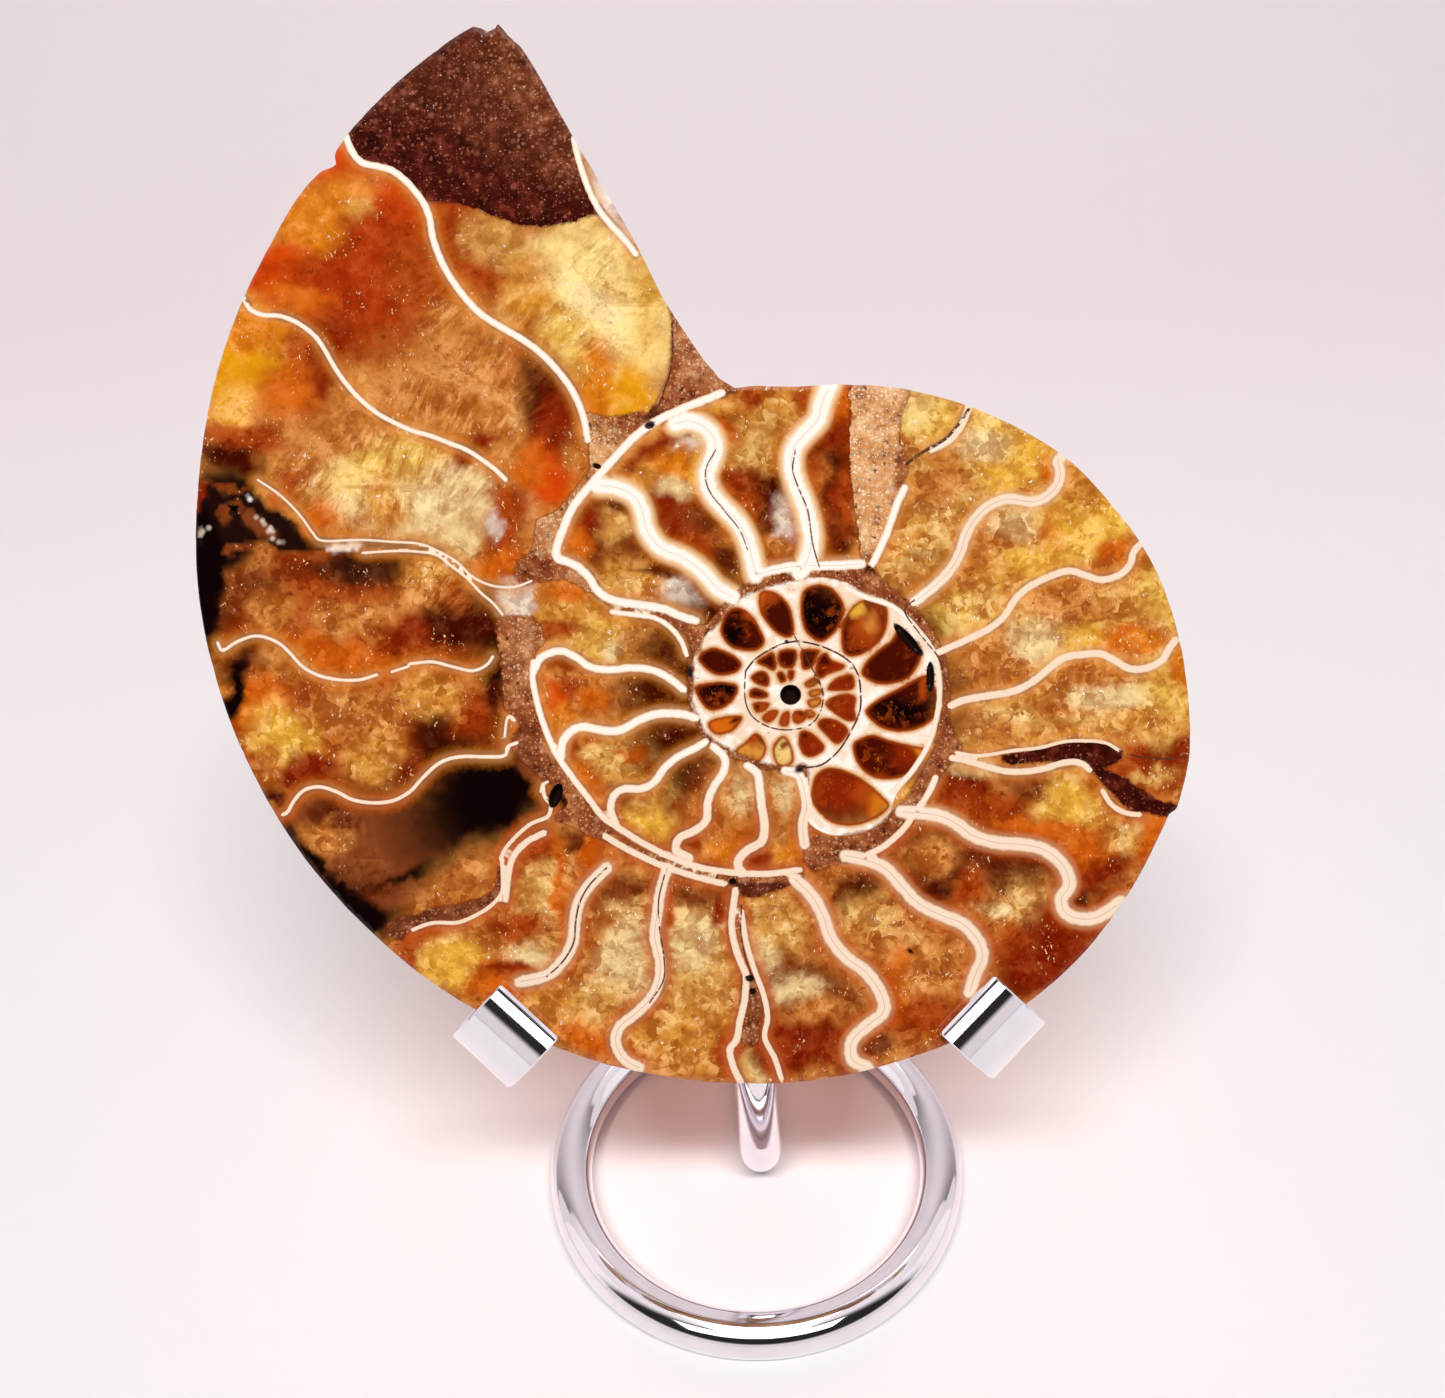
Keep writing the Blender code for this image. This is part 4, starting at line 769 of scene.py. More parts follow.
def on_curve(knots, x):
    """Read a smooth curve that runs through the knots and never overshoots them."""
    if x <= knots[0][0]:
        return knots[0][1]
    if x >= knots[-1][0]:
        return knots[-1][1]
    i = max(k for k in range(len(knots) - 1) if knots[k][0] <= x)

    def rise(k):
        """Slope of the straight line from one knot to the next."""
        return (knots[k + 1][1] - knots[k][1]) / (knots[k + 1][0] - knots[k][0])

    def slope(k):
        """Slope of the curve at a knot: level at the ends and at turning points."""
        if k == 0 or k == len(knots) - 1:
            return 0.0
        before, after = rise(k - 1), rise(k)
        return 0.0 if before * after <= 0 else 2 * before * after / (before + after)

    width = knots[i + 1][0] - knots[i][0]
    f = (x - knots[i][0]) / width
    start, end = knots[i][1], knots[i + 1][1]
    bend = slope(i) * width
    other = slope(i + 1) * width
    return (start * (2 * f**3 - 3 * f**2 + 1) + bend * (f**3 - 2 * f**2 + f)
            + end * (3 * f**2 - 2 * f**3) + other * (f**3 - f**2))


def polar(radius, degrees):
    """Point on the cut face."""
    angle = math.radians(degrees)
    return (radius * math.cos(angle), radius * math.sin(angle))


def rim_radius(angle):
    """Radius of the outer rim. Past the start of the last whorl it is one turn smaller."""
    if angle > TURN_END:
        return on_curve(RIM, angle - 360.0) / WHORL_GROWTH
    return on_curve(RIM, angle)


def shoulder_radius(turned):
    """Radius of the umbilical shoulder after so many degrees of the last whorl."""
    return UMBILICUS_RADIUS * WHORL_GROWTH ** (turned / 360.0)


def flank(radius, turned, angle):
    """Thickness of a whorl's flank and the share of the way from its shoulder to its keel."""
    shoulder = shoulder_radius(turned)
    share = (radius - shoulder) / (rim_radius(angle) - shoulder)
    share = min(max(share, 0.0), 1.0)
    full = START_THICKNESS * THICKNESS_GROWTH ** (turned / 360.0)
    power, rounding = FLANK_ROUNDING
    return EDGE_THICKNESS + (full - EDGE_THICKNESS) * (1 - share**power) ** rounding, share


def whorl_thickness(radius, turned, angle):
    """Thickness, and share of the flank, with the shoulder dropping to the whorl inside."""
    shoulder = shoulder_radius(turned)
    outer, share = flank(radius, turned, angle)
    if radius >= shoulder:
        return outer, share
    inner_shoulder = shoulder / WHORL_GROWTH
    inner, inner_share = flank(radius, turned - 360.0, angle + 360.0)
    if radius < inner_shoulder:
        fall = (inner_shoulder - radius) / (UMBILICUS_SLOPE * inner_shoulder)
        inner += (UMBILICUS_FLOOR - inner) * float(ease(fall))
    inner = max(inner, UMBILICUS_FLOOR)
    fall = float(ease((shoulder - radius) / (UMBILICUS_SLOPE * shoulder)))
    return outer + (inner - outer) * fall, inner_share - 1.0


def stone_back(u, v):
    """Thickness behind a point of the face, degrees turned, and share of the flank."""
    radius = math.hypot(u, v)
    base = on_curve(APERTURE, radius)
    turned = (base - math.degrees(math.atan2(v, u))) % 360.0
    thickness, share = whorl_thickness(radius, turned, base + 360.0 - turned)
    past_wall = radius * math.radians(turned) / APERTURE_WALL
    if past_wall < 1.0:
        last, _ = whorl_thickness(radius, 360.0, base)
        thickness = last + (thickness - last) * float(ease(past_wall))
    return thickness, turned, share


def even_steps(points, step):
    """The same closed outline with points at even steps."""
    loop = np.vstack([points, points[:1]])
    lengths = np.hypot(*np.diff(loop, axis=0).T)
    along = np.concatenate([[0.0], np.cumsum(lengths)])
    count = int(round(along[-1] / step))
    marks = np.arange(count) * along[-1] / count
    return np.stack([np.interp(marks, along, loop[:, k]) for k in (0, 1)], axis=1)


def stone_outline():
    """Outline of the cut face at even fine steps, with a slightly uneven broken edge."""
    angles = np.arange(RIM_FIRST, RIM_LAST, -0.4)
    points = [polar(rim_radius(a), a) for a in angles]
    points += TIP_CHIP
    top, foot = APERTURE_RADII
    points += [polar(r, on_curve(APERTURE, r)) for r in np.arange(top, foot, -0.8)]
    points.append(polar(*APERTURE_FOOT))
    loop = even_steps(np.array(points), RIM_STEP)
    ahead = np.roll(loop, -1, axis=0) - np.roll(loop, 1, axis=0)
    inward = np.stack([-ahead[:, 1], ahead[:, 0]], axis=1)
    inward /= np.hypot(*inward.T)[:, None]
    uneven = np.array([noise.noise((u * 0.5, v * 0.5, 3.0)) for u, v in loop])
    nicks = np.array([noise.noise((u * 1.7, v * 1.7, 9.0)) for u, v in loop])
    bite = (EDGE_BITE + EDGE_BITE * uneven
            + NICK_BITE * np.clip(nicks - NICK_LEVEL, 0.0, 1.0))
    if area_distance(np.array([[0.0, 0.0]]) + loop[:1] + inward[:1], loop, 5.0)[0] < 0:
        inward = -inward
    return loop + inward * bite[:, None], inward


def hex_grid(step, radius):
    """Points of an even three-cornered grid."""
    rows = np.arange(-radius, radius, step * math.sqrt(0.75))
    columns = np.arange(-radius, radius, step)
    u, v = np.meshgrid(columns, rows)
    u = u + np.where(np.arange(len(rows)) % 2, step / 2, 0.0)[:, None]
    return np.stack([u.ravel(), v.ravel()], axis=1)


def hole_reach(spots, hole):
    """How far each spot lies from a hole's middle, 1 at its rim."""
    x, y, half_x, half_y, turn, _ = hole
    angle = math.radians(turn)
    away = spots - face_mm([(x, y)])[0]
    across = away[:, 0] * math.cos(angle) + away[:, 1] * math.sin(angle)
    up = away[:, 1] * math.cos(angle) - away[:, 0] * math.sin(angle)
    return np.hypot(across * PHOTO_SCALE / half_x, up * PHOTO_SCALE / half_y)


def face_level(spots):
    """Height of the cut face: flat, apart from open holes and the scooped chip."""
    level = np.zeros(len(spots))
    for hole in HOLES:
        reach = hole_reach(spots, hole)
        bowl = -hole[5] * np.clip(1 - reach**3, 0.0, 1.0) ** 0.6
        level = np.minimum(level, bowl)
    edge = smooth_line(CHIP_EDGE)
    distance, side, _ = line_distance(spots, edge)
    ends = (spots[:, 1] < CHIP_EDGE[0][1]) & (spots[:, 1] > CHIP_EDGE[-1][1])
    scoop = np.where((side > 0) & ends & (spots[:, 0] > -27.0), distance / CHIP_WIDTH, 0.0)
    return np.minimum(level, -CHIP_DEPTH * np.clip(scoop, 0.0, 1.0) ** 0.7)


def hole_points():
    """Rings of points that give each hole a crisp rim and a round floor."""
    points = []
    for x, y, half_x, half_y, turn, _ in HOLES:
        middle = face_mm([(x, y)])[0]
        angle = math.radians(turn)
        count = max(12, int((half_x + half_y) * 1.6))
        for share in (1.02, 0.93, 0.75, 0.5):
            for k in range(count):
                bearing = 2 * math.pi * k / count
                across = half_x * share * math.cos(bearing) / PHOTO_SCALE
                up = half_y * share * math.sin(bearing) / PHOTO_SCALE
                points.append((middle[0] + across * math.cos(angle) - up * math.sin(angle),
                               middle[1] + across * math.sin(angle) + up * math.cos(angle)))
    return np.array(points)


def drawn_lines():
    """Middle lines of all walls and cracks, at short even steps, with their half widths."""
    drawn = []
    for half, points in [*SEPTA.values(), *WHORL_WALLS.values(), *CRACKS]:
        line = smooth_line(face_mm(points))
        along = np.concatenate([[0.0], np.cumsum(np.hypot(*np.diff(line, axis=0).T))])
        marks = np.linspace(0.0, along[-1], max(2, int(along[-1] / LINE_STEP)))
        line = np.stack([np.interp(marks, along, line[:, k]) for k in (0, 1)], axis=1)
        drawn.append((half / PHOTO_SCALE, line))
    return drawn


def line_points(border):
    """Points and constraint edges that keep thin lines crisp: middles and both edges."""
    middles, edges, sides = [], [], []
    for half, line in drawn_lines():
        keep = area_distance(line, border) > EDGE_ROOM
        ahead = np.gradient(line, axis=0)
        normal = np.stack([-ahead[:, 1], ahead[:, 0]], axis=1)
        normal /= np.hypot(*normal.T)[:, None]
        for side in (-1, 1):
            if half > 0.15:
                sides.append((line + normal * half * side)[keep])
        first = sum(len(part) for part in middles)
        kept = np.flatnonzero(keep)
        edges += [(first + k, first + k + 1) for k in range(len(kept) - 1)
                  if kept[k + 1] == kept[k] + 1]
        middles.append(line[keep])
    return np.vstack(middles), edges, np.vstack(sides)


def face_grid(border):
    """Points within the face: lines, an even grid, finer in the middle, and holes' rings."""
    coarse = hex_grid(FACE_STEP, 90.0)
    fine = hex_grid(CENTRE_STEP, CENTRE_RADIUS)
    reach = np.hypot(*coarse.T)
    spots = np.vstack([coarse[reach > CENTRE_RADIUS], fine[np.hypot(*fine.T) < CENTRE_RADIUS]])
    holes = hole_points()
    clear = np.ones(len(spots), bool)
    for hole in HOLES:
        clear &= hole_reach(spots, hole) > 1.0 + 1.2 / hole[3]
    chip, _, _ = line_distance(spots, smooth_line(CHIP_EDGE))
    spots = spots[clear & (chip > 0.2)]
    middles, edges, sides = line_points(border)
    drawn = np.vstack([middles, sides])
    for start in range(0, len(drawn), 400):
        part = drawn[start:start + 400]
        near = near_box(spots, part, LINE_ROOM)
        away = spots[near][:, None, :] - part[None, :, :]
        close = (away**2).sum(axis=2).min(axis=1) < LINE_ROOM**2
        spots = np.delete(spots, np.flatnonzero(near)[close], axis=0)
    sides = sides[::2]
    spots = np.vstack([spots, holes, smooth_line(CHIP_EDGE), sides])
    depth = area_distance(spots, border)
    return np.vstack([middles, spots[depth > EDGE_ROOM]]), edges


def triangles(border, spots, lines=()):
    """Fill a closed border with triangles over the spots. Gives the points and the faces."""
    count = len(border)
    flat = [Vector(p) for p in np.vstack([border, spots])]
    loop = list(range(count))
    edges = [(k, (k + 1) % count) for k in loop]
    edges += [(count + a, count + b) for a, b in lines]
    found = delaunay_2d_cdt(flat, edges, [loop], 1, 1e-6)
    where = np.array([tuple(p) for p in found[0]])
    origin = np.array([min(source) if source else -1 for source in found[3]])
    return where, found[2], origin


def warp(spots, scale, amount, seed):
    """Shift the spots by smooth noise, so that painted edges come out uneven."""
    moved = [noise.noise_vector((u * scale, v * scale, seed))[:2] for u, v in spots]
    return spots + np.array(moved) * amount


def paint_patches(spots):
    """Colour of each spot, from the patches laid over one another."""
    moved = spots
    for scale, amount, seed in PAINT_WARPS:
        moved = warp(moved, scale, amount, seed)
    colours = {name: np.array([linear(c) for c in value[:3]] + [value[3]])
               for name, value in PALETTE.items()}
    paint = np.tile(colours["tan"], (len(spots), 1))
    for x, y, half_x, half_y, turn, name, soft in PATCHES:
        reach = hole_reach(moved, (x, y, half_x, half_y, -turn, 0.0))
        soft += PAINT_SOFTNESS
        cover = 1.0 - ease((reach - (1.0 - soft * 0.5)) / soft)
        paint += (colours[name] - paint) * cover[:, None]
    return paint


def linear(level):
    """One channel of a colour as seen, 0 to 255, to the light it stands for."""
    share = level / 255.0
    return share / 12.92 if share <= 0.04045 else ((share + 0.055) / 1.055) ** 2.4


def nearest_lines(spots, lines, room):
    """Clear room to the nearest line, place along it, and its half width, in millimetres."""
    clear = np.full(len(spots), room)
    along = np.zeros(len(spots))
    width = np.zeros(len(spots))
    start = 0.0
    for half, points in lines:
        line = smooth_line(face_mm(points))
        near = near_box(spots, line, room)
        half = half / PHOTO_SCALE
        distance, _, run = line_distance(spots[near], line)
        gap = distance - half
        places = np.flatnonzero(near)
        closer = gap < clear[places]
        clear[places[closer]] = gap[closer]
        along[places[closer]] = start + run[closer]
        width[places[closer]] = half
        start += LINE_APART
    return clear, along, width


def face_fields(spots):
    """Everything that the face's material reads: one value or more for each point."""
    walls = [*SEPTA.values(), *WHORL_WALLS.values()]
    wall, along, width = nearest_lines(spots, walls, WALL_ROOM)
    crack, _, _ = nearest_lines(spots, CRACKS, AREA_ROOM)
    cell = np.full(len(spots), -AREA_ROOM)
    for points in CELLS:
        cell = np.maximum(cell, area_distance(spots, smooth_loop(points)))
    whorl = area_distance(spots, smooth_loop(SMALL_WHORLS))
    mud = np.full(len(spots), -AREA_ROOM)
    tone = np.zeros(len(spots))
    for shade, points in SEDIMENT.values():
        depth = area_distance(spots, smooth_loop(points))
        deeper = depth > mud
        mud[deeper] = depth[deeper]
        tone[deeper] = shade
    for x, y, half_x, half_y, turn, change in TONE_CHANGES:
        reach = hole_reach(spots, (x, y, half_x, half_y, -turn, 0.0))
        tone += change * (1.0 - ease(reach - 0.5))
    fibres = np.zeros(len(spots))
    for spot in FIBROUS:
        fibres = np.maximum(fibres, 1.0 - ease(hole_reach(spots, (*spot, 0.0)) - 0.5))
    return {
        "wall": np.stack([wall, along, width], axis=1),
        "crack": np.stack([crack, cell, whorl], axis=1),
        "mud": np.stack([mud, tone, fibres], axis=1),
        "tint": paint_patches(spots),
    }


def to_world(spots, level):
    """Millimetres on the face, and out of it, to metres in the frame."""
    axes = np.array([FACE_ACROSS, FACE_RISE, FACE_OUT])
    local = np.column_stack([spots, level])
    return (local @ axes + np.array(COIL_CENTRE)) * MM


def shell_relief(spots, turned, share):
    """Low ribs and growth lines on the shell, in millimetres."""
    bend = 6.0 * np.sin(share * 5.0)
    ribs = np.sin(np.radians((turned + bend) * 15.0)) * ease(share * 3.0) * ease((1 - share) * 4)
    fine = np.array([noise.noise((u * 0.35, v * 0.35, 1.0)) for u, v in spots])
    return RIB_HEIGHT * ribs + GROWTH_HEIGHT * fine


def build_stone():
    """The fossil half: polished cut face, broken aperture, and the coiled shell behind."""
    outline, inward = stone_outline()
    count = len(outline)
    border = outline + inward * ARRIS
    front, front_faces, front_origin = triangles(border, *face_grid(border))
    back_spots = hex_grid(BACK_STEP, 90.0)
    back_spots = back_spots[area_distance(back_spots, outline) > BACK_EDGE_ROOM]
    back, back_faces, back_origin = triangles(outline, back_spots)

    measured = np.array([stone_back(u, v) for u, v in back])
    thickness = measured[:, 0]
    relief = shell_relief(back, measured[:, 1], measured[:, 2])
    at_edge = np.clip(area_distance(back, outline) / RELIEF_FADE, 0.0, 1.0)
    back_level = -(thickness + relief * at_edge)

    front_level = face_level(front)
    front_rim = {source: k for k, source in enumerate(front_origin) if 0 <= source < count}
    back_rim = {source: k for k, source in enumerate(back_origin) if 0 <= source < count}
    edge_level = np.array([front_level[front_rim[k]] for k in range(count)]) - 0.75 * ARRIS
    foot_level = np.array([back_level[back_rim[k]] for k in range(count)])

    rows = []
    side_spots = []
    side_levels = []
    first = len(front) + len(back)
    for row in range(WALL_ROWS):
        share = row / WALL_ROWS
        level = edge_level + (foot_level - edge_level) * share
        tall = np.clip((-foot_level - 2.0) / 3.0, 0.0, 1.0) * math.sin(math.pi * share)
        rough = np.array([noise.noise((u * 0.9, v * 0.9, h * 0.9))
                          for (u, v), h in zip(outline, level)])
        push = tall * (BREAK_PUSH + BREAK_ROUGHNESS * rough)
        side_spots.append(outline + inward * push[:, None])
        side_levels.append(level)
        rows.append(list(range(first + row * count, first + (row + 1) * count)))
    rows.append([len(front) + back_rim[k] for k in range(count)])

    spots = np.vstack([front, back] + side_spots)
    level = np.concatenate([front_level, back_level] + side_levels)
    faces = [tuple(face) for face in front_faces]
    slots = [0] * len(faces)
    faces += [tuple(len(front) + k for k in reversed(face)) for face in back_faces]
    slots += [1] * len(back_faces)
    for k in range(count):
        after = (k + 1) % count
        faces.append((front_rim[k], rows[0][k], rows[0][after], front_rim[after]))
        slots.append(0)
        for upper, lower in zip(rows, rows[1:]):
            faces.append((upper[k], lower[k], lower[after], upper[after]))
            slots.append(1)

    mesh = bpy.data.meshes.new("ammonite_half_looks")
    mesh.from_pydata([tuple(p) for p in to_world(spots, level)], [], faces)
    mesh.polygons.foreach_set("material_index", slots)
    work = bmesh.new()
    work.from_mesh(mesh)
    bmesh.ops.recalc_face_normals(work, faces=work.faces)
    work.to_mesh(mesh)
    work.free()

    place = np.column_stack([spots, level])
    add_attribute(mesh, "face_place", "FLOAT_VECTOR", place)
    fields = face_fields(front)
    for name, kind, empty in (("wall", "FLOAT_VECTOR", (WALL_ROOM, 0.0, 0.0)),
                              ("crack", "FLOAT_VECTOR", (AREA_ROOM, -AREA_ROOM, -AREA_ROOM)),
                              ("mud", "FLOAT_VECTOR", (-AREA_ROOM, 0.0, 0.0)),
                              ("tint", "FLOAT_COLOR", (0.3, 0.15, 0.05, 0.5))):
        values = np.tile(np.array(empty, float), (len(spots), 1))
        values[:len(front)] = fields[name]
        values[first:first + count] = fields[name][[front_rim[k] for k in range(count)]]
        add_attribute(mesh, name, kind, values)
    coil = np.zeros((len(spots), 3))
    coil[len(front):first] = np.column_stack([measured[:, 1] / 360.0, measured[:, 2],
                                              thickness])
    add_attribute(mesh, "coil", "FLOAT_VECTOR", coil)
    mesh.shade_smooth()
    mesh.set_sharp_from_angle(angle=math.radians(40.0))
    return mesh


def add_attribute(mesh, name, kind, values):
    """Store one value or more on each point of a mesh."""
    attribute = mesh.attributes.new(name, kind, "POINT")
    field = "color" if kind == "FLOAT_COLOR" else "vector"
    attribute.data.foreach_set(field, np.ascontiguousarray(values, np.float32).ravel())


class Nodes:
    """Short ways to add nodes to one tree and join them."""

    def __init__(self, tree):
        """Works on one node tree."""
        self.tree = tree

    def add(self, kind, **settings):
        """A new node with these settings."""
        made = self.tree.nodes.new(kind)
        for name, value in settings.items():
            setattr(made, name, value)
        return made

    def feed(self, socket, value):
        """Join an output to the socket, or set the socket's own value."""
        if isinstance(value, bpy.types.NodeSocket):
            self.tree.links.new(value, socket)
        else:
            socket.default_value = value

    def math(self, operation, first, second=0.0):
        """One sum of two values."""
        made = self.add("ShaderNodeMath", operation=operation)
        self.feed(made.inputs[0], first)
        self.feed(made.inputs[1], second)
        return made.outputs[0]

    def times(self, first, second):
        """The product of two values."""
        return self.math("MULTIPLY", first, second)

    def between(self, value, low, high, start=0.0, end=1.0):
        """Ease from start to end as the value goes from low to high."""
        made = self.add("ShaderNodeMapRange", interpolation_type="SMOOTHSTEP")
        for socket, item in zip(made.inputs, (value, low, high, start, end)):
            self.feed(socket, item)
        return made.outputs[0]

    def mix(self, share, first, second, blend="MIX"):
        """The second colour laid over the first by the share."""
        made = self.add("ShaderNodeMix", data_type="RGBA", blend_type=blend)
        self.feed(made.inputs[0], share)
        self.feed(made.inputs[6], first)
        self.feed(made.inputs[7], second)
        return made.outputs[2]

    def ramp(self, value, stops):
        """Colours by value, from stops of place and colour."""
        made = self.add("ShaderNodeValToRGB")
        elements = made.color_ramp.elements
        while len(elements) < len(stops):
            elements.new(1.0)
        for element, (place, colour) in zip(elements, stops):
            element.position = place
            element.color = colour
        self.feed(made.inputs[0], value)
        return made.outputs[0]

    def noise(self, place, scale, detail, rough, twist=0.0):
        """Smooth noise: its value and its colour."""
        made = self.add("ShaderNodeTexNoise")
        self.feed(made.inputs["Vector"], place)
        self.feed(made.inputs["Scale"], scale)
        self.feed(made.inputs["Detail"], detail)
        self.feed(made.inputs["Roughness"], rough)
        self.feed(made.inputs["Distortion"], twist)
        return made.outputs["Fac"], made.outputs["Color"]

    def cells(self, place, scale):
        """Scattered cells: distance to the middle, and a colour for each."""
        made = self.add("ShaderNodeTexVoronoi")
        self.feed(made.inputs["Vector"], place)
        self.feed(made.inputs["Scale"], scale)
        return made.outputs

    def attribute(self, name):
        """A field that the mesh carries."""
        return self.add("ShaderNodeAttribute", attribute_name=name).outputs

    def split(self, vector):
        """The three numbers of a vector or colour."""
        made = self.add("ShaderNodeSeparateXYZ")
        self.feed(made.inputs[0], vector)
        return made.outputs

    def shift(self, place, offset, amount):
        """Move the place by a colour's offset from grey, times the amount."""
        centred = self.add("ShaderNodeVectorMath", operation="SUBTRACT")
        self.feed(centred.inputs[0], offset)
        centred.inputs[1].default_value = (0.5, 0.5, 0.5)
        scaled = self.add("ShaderNodeVectorMath", operation="SCALE")
        self.feed(scaled.inputs[0], centred.outputs[0])
        self.feed(scaled.inputs["Scale"], amount)
        moved = self.add("ShaderNodeVectorMath", operation="ADD")
        self.feed(moved.inputs[0], place)
        self.feed(moved.inputs[1], scaled.outputs[0])
        return moved.outputs[0]

    def bump(self, height, strength, distance):
        """Fine relief from a height."""
        made = self.add("ShaderNodeBump")
        made.inputs["Strength"].default_value = strength
        made.inputs["Distance"].default_value = distance
        self.feed(made.inputs["Height"], height)
        return made.outputs[0]


def new_group(name, inputs, outputs):
    """An empty shader node group with named sockets."""
    group = bpy.data.node_groups.new(name, "ShaderNodeTree")
    for label, kind, value in inputs:
        socket = group.interface.new_socket(label, in_out="INPUT", socket_type=kind)
        if value is not None:
            socket.default_value = value
    for label, kind in outputs:
        group.interface.new_socket(label, in_out="OUTPUT", socket_type=kind)
    nodes = Nodes(group)
    return group, nodes, nodes.add("NodeGroupInput").outputs, nodes.add("NodeGroupOutput").inputs


def use_group(nodes, group, **values):
    """Place a group in a tree with its own values."""
    made = nodes.add("ShaderNodeGroup")
    made.node_tree = group
    for name, value in values.items():
        nodes.feed(made.inputs[name], value)
    return made.outputs


def crystal_group():
    """Calcite: smooth clouds, seen shifted in each crystal, with rust spots and rare white sparks
    that are painted glints.
    """
    group, nodes, given, out = new_group(
        "calcite crystals",
        [("Place", "NodeSocketVector", None), ("Size", "NodeSocketFloat", 0.3)],
        [("Tone", "NodeSocketFloat"), ("Rust", "NodeSocketFloat"),
         ("Painted Sparks", "NodeSocketFloat"), ("Cloud", "NodeSocketFloat")])
    _, push = nodes.noise(given["Place"], 0.9, 2.0, 0.5)
    place = nodes.shift(given["Place"], push, 1.5)
    blocks = nodes.cells(place, given["Size"])
    small = nodes.cells(place, nodes.times(given["Size"], 2.7))
    seen = nodes.shift(nodes.shift(given["Place"], blocks["Color"], 3.4), small["Color"], 1.5)
    tone, _ = nodes.noise(seen, 0.3, 2.5, 0.55)
    block_tone = nodes.math("SUBTRACT", nodes.split(small["Color"])[0], 0.5)
    nodes.feed(out["Tone"], nodes.math("ADD", tone, nodes.times(block_tone, 0.05)))
    cloud, _ = nodes.noise(given["Place"], 0.34, 5.0, 0.62, 0.5)
    nodes.feed(out["Cloud"], cloud)
    spots, _ = nodes.noise(nodes.shift(seen, push, 1.0), 0.8, 3.0, 0.6)
    nodes.feed(out["Rust"], nodes.between(spots, 0.38, 0.3))
    # painted glints: rare bright streaks that stand for light caught in the crystals
    slant = nodes.add("ShaderNodeMapping")
    nodes.feed(slant.inputs["Vector"], nodes.shift(given["Place"], push, 1.2))
    slant.inputs["Rotation"].default_value = (0.0, 0.0, 0.7)
    slant.inputs["Scale"].default_value = (1.0, 0.5, 1.0)
    fine, _ = nodes.noise(slant.outputs[0], 3.4, 2.0, 0.5)
    gather, _ = nodes.noise(given["Place"], 0.26, 3.0, 0.6)
    nodes.feed(out["Painted Sparks"], nodes.times(nodes.between(fine, 0.64, 0.69),
                                          nodes.between(gather, 0.5, 0.62)))
    return group


def speckle_group():
    """Grains of several sizes for sediment, with rare bright specks that are painted glints and
    dark specks that are the painted shade of small pits.
    """
    group, nodes, given, out = new_group(
        "sediment grains",
        [("Place", "NodeSocketVector", None), ("Density", "NodeSocketFloat", 0.5)],
        [("Grains", "NodeSocketFloat"), ("Painted Shine Specks", "NodeSocketFloat"),
         ("Patches", "NodeSocketFloat"), ("Painted Pit Shade", "NodeSocketFloat")])
    _, push = nodes.noise(given["Place"], 1.6, 3.0, 0.6)
    place = nodes.shift(given["Place"], push, 0.5)
    total = 0.0
    sizes = []
    for scale, weight in ((0.95, 0.45), (1.9, 0.85), (3.8, 1.0)):
        grains = nodes.cells(place, scale)
        picked = nodes.between(nodes.split(grains["Color"])[0],
                               nodes.math("SUBTRACT", 0.92, given["Density"]), 1.0)
        close = nodes.between(grains["Distance"], 0.15, 0.5, 1.0, 0.0)
        total = nodes.math("MAXIMUM", total, nodes.times(nodes.times(picked, close), weight))
        sizes.append(grains)
    nodes.feed(out["Grains"], total)
    coarse, _, fine = sizes
    patches, _ = nodes.noise(given["Place"], 0.42, 6.0, 0.74)
    nodes.feed(out["Patches"], patches)
    # painted shade: dark specks that stand for the shade inside small pits
    nodes.feed(out["Painted Pit Shade"], nodes.times(nodes.between(nodes.split(coarse["Color"])[1], 0.6, 0.5),
                                        nodes.between(coarse["Distance"], 0.34, 0.12)))
    # painted glints: rare bright specks
    rare = nodes.between(nodes.split(fine["Color"])[1], 0.965, 0.985)
    near = nodes.between(fine["Distance"], 0.08, 0.3, 1.0, 0.0)
    nodes.feed(out["Painted Shine Specks"], nodes.times(rare, near))
    return group


def rgb(name, strength=1.0):
    """A palette colour as four numbers for a socket."""
    return (*[linear(c) * strength for c in PALETTE[name][:3]], 1.0)


def new_material(name):
    """An empty material with its shader, and its nodes ready to use."""
    material = bpy.data.materials.new(name)
    material.use_nodes = True
    return material, Nodes(material.node_tree), material.node_tree.nodes["Principled BSDF"]


def face_inputs(nodes, crystals):
    """What the parts of the face's material share: the mesh's fields, crystals and ripples."""
    place = nodes.attribute("face_place")["Vector"]
    across, up, depth = nodes.split(place)
    wall, along, width = nodes.split(nodes.attribute("wall")["Vector"])
    crack, cell, whorl = nodes.split(nodes.attribute("crack")["Vector"])
    mud, mud_tone, fibrous = nodes.split(nodes.attribute("mud")["Vector"])
    tint = nodes.attribute("tint")
    crystal = use_group(nodes, crystals, Place=place, Size=0.4)
    ripple, _ = nodes.noise(place, 1.3, 4.0, 0.6)
    return SimpleNamespace(
        place=place, across=across, up=up, depth=depth, wall=wall, along=along, width=width,
        crack=crack, cell=cell, whorl=whorl, mud=mud, mud_tone=mud_tone, fibrous=fibrous,
        tint=tint["Color"], amount=tint["Alpha"], crystal=crystal, ripple=ripple,
        wobble=nodes.math("SUBTRACT", ripple, 0.5), low=nodes.between(up, -6.0, -16.0))


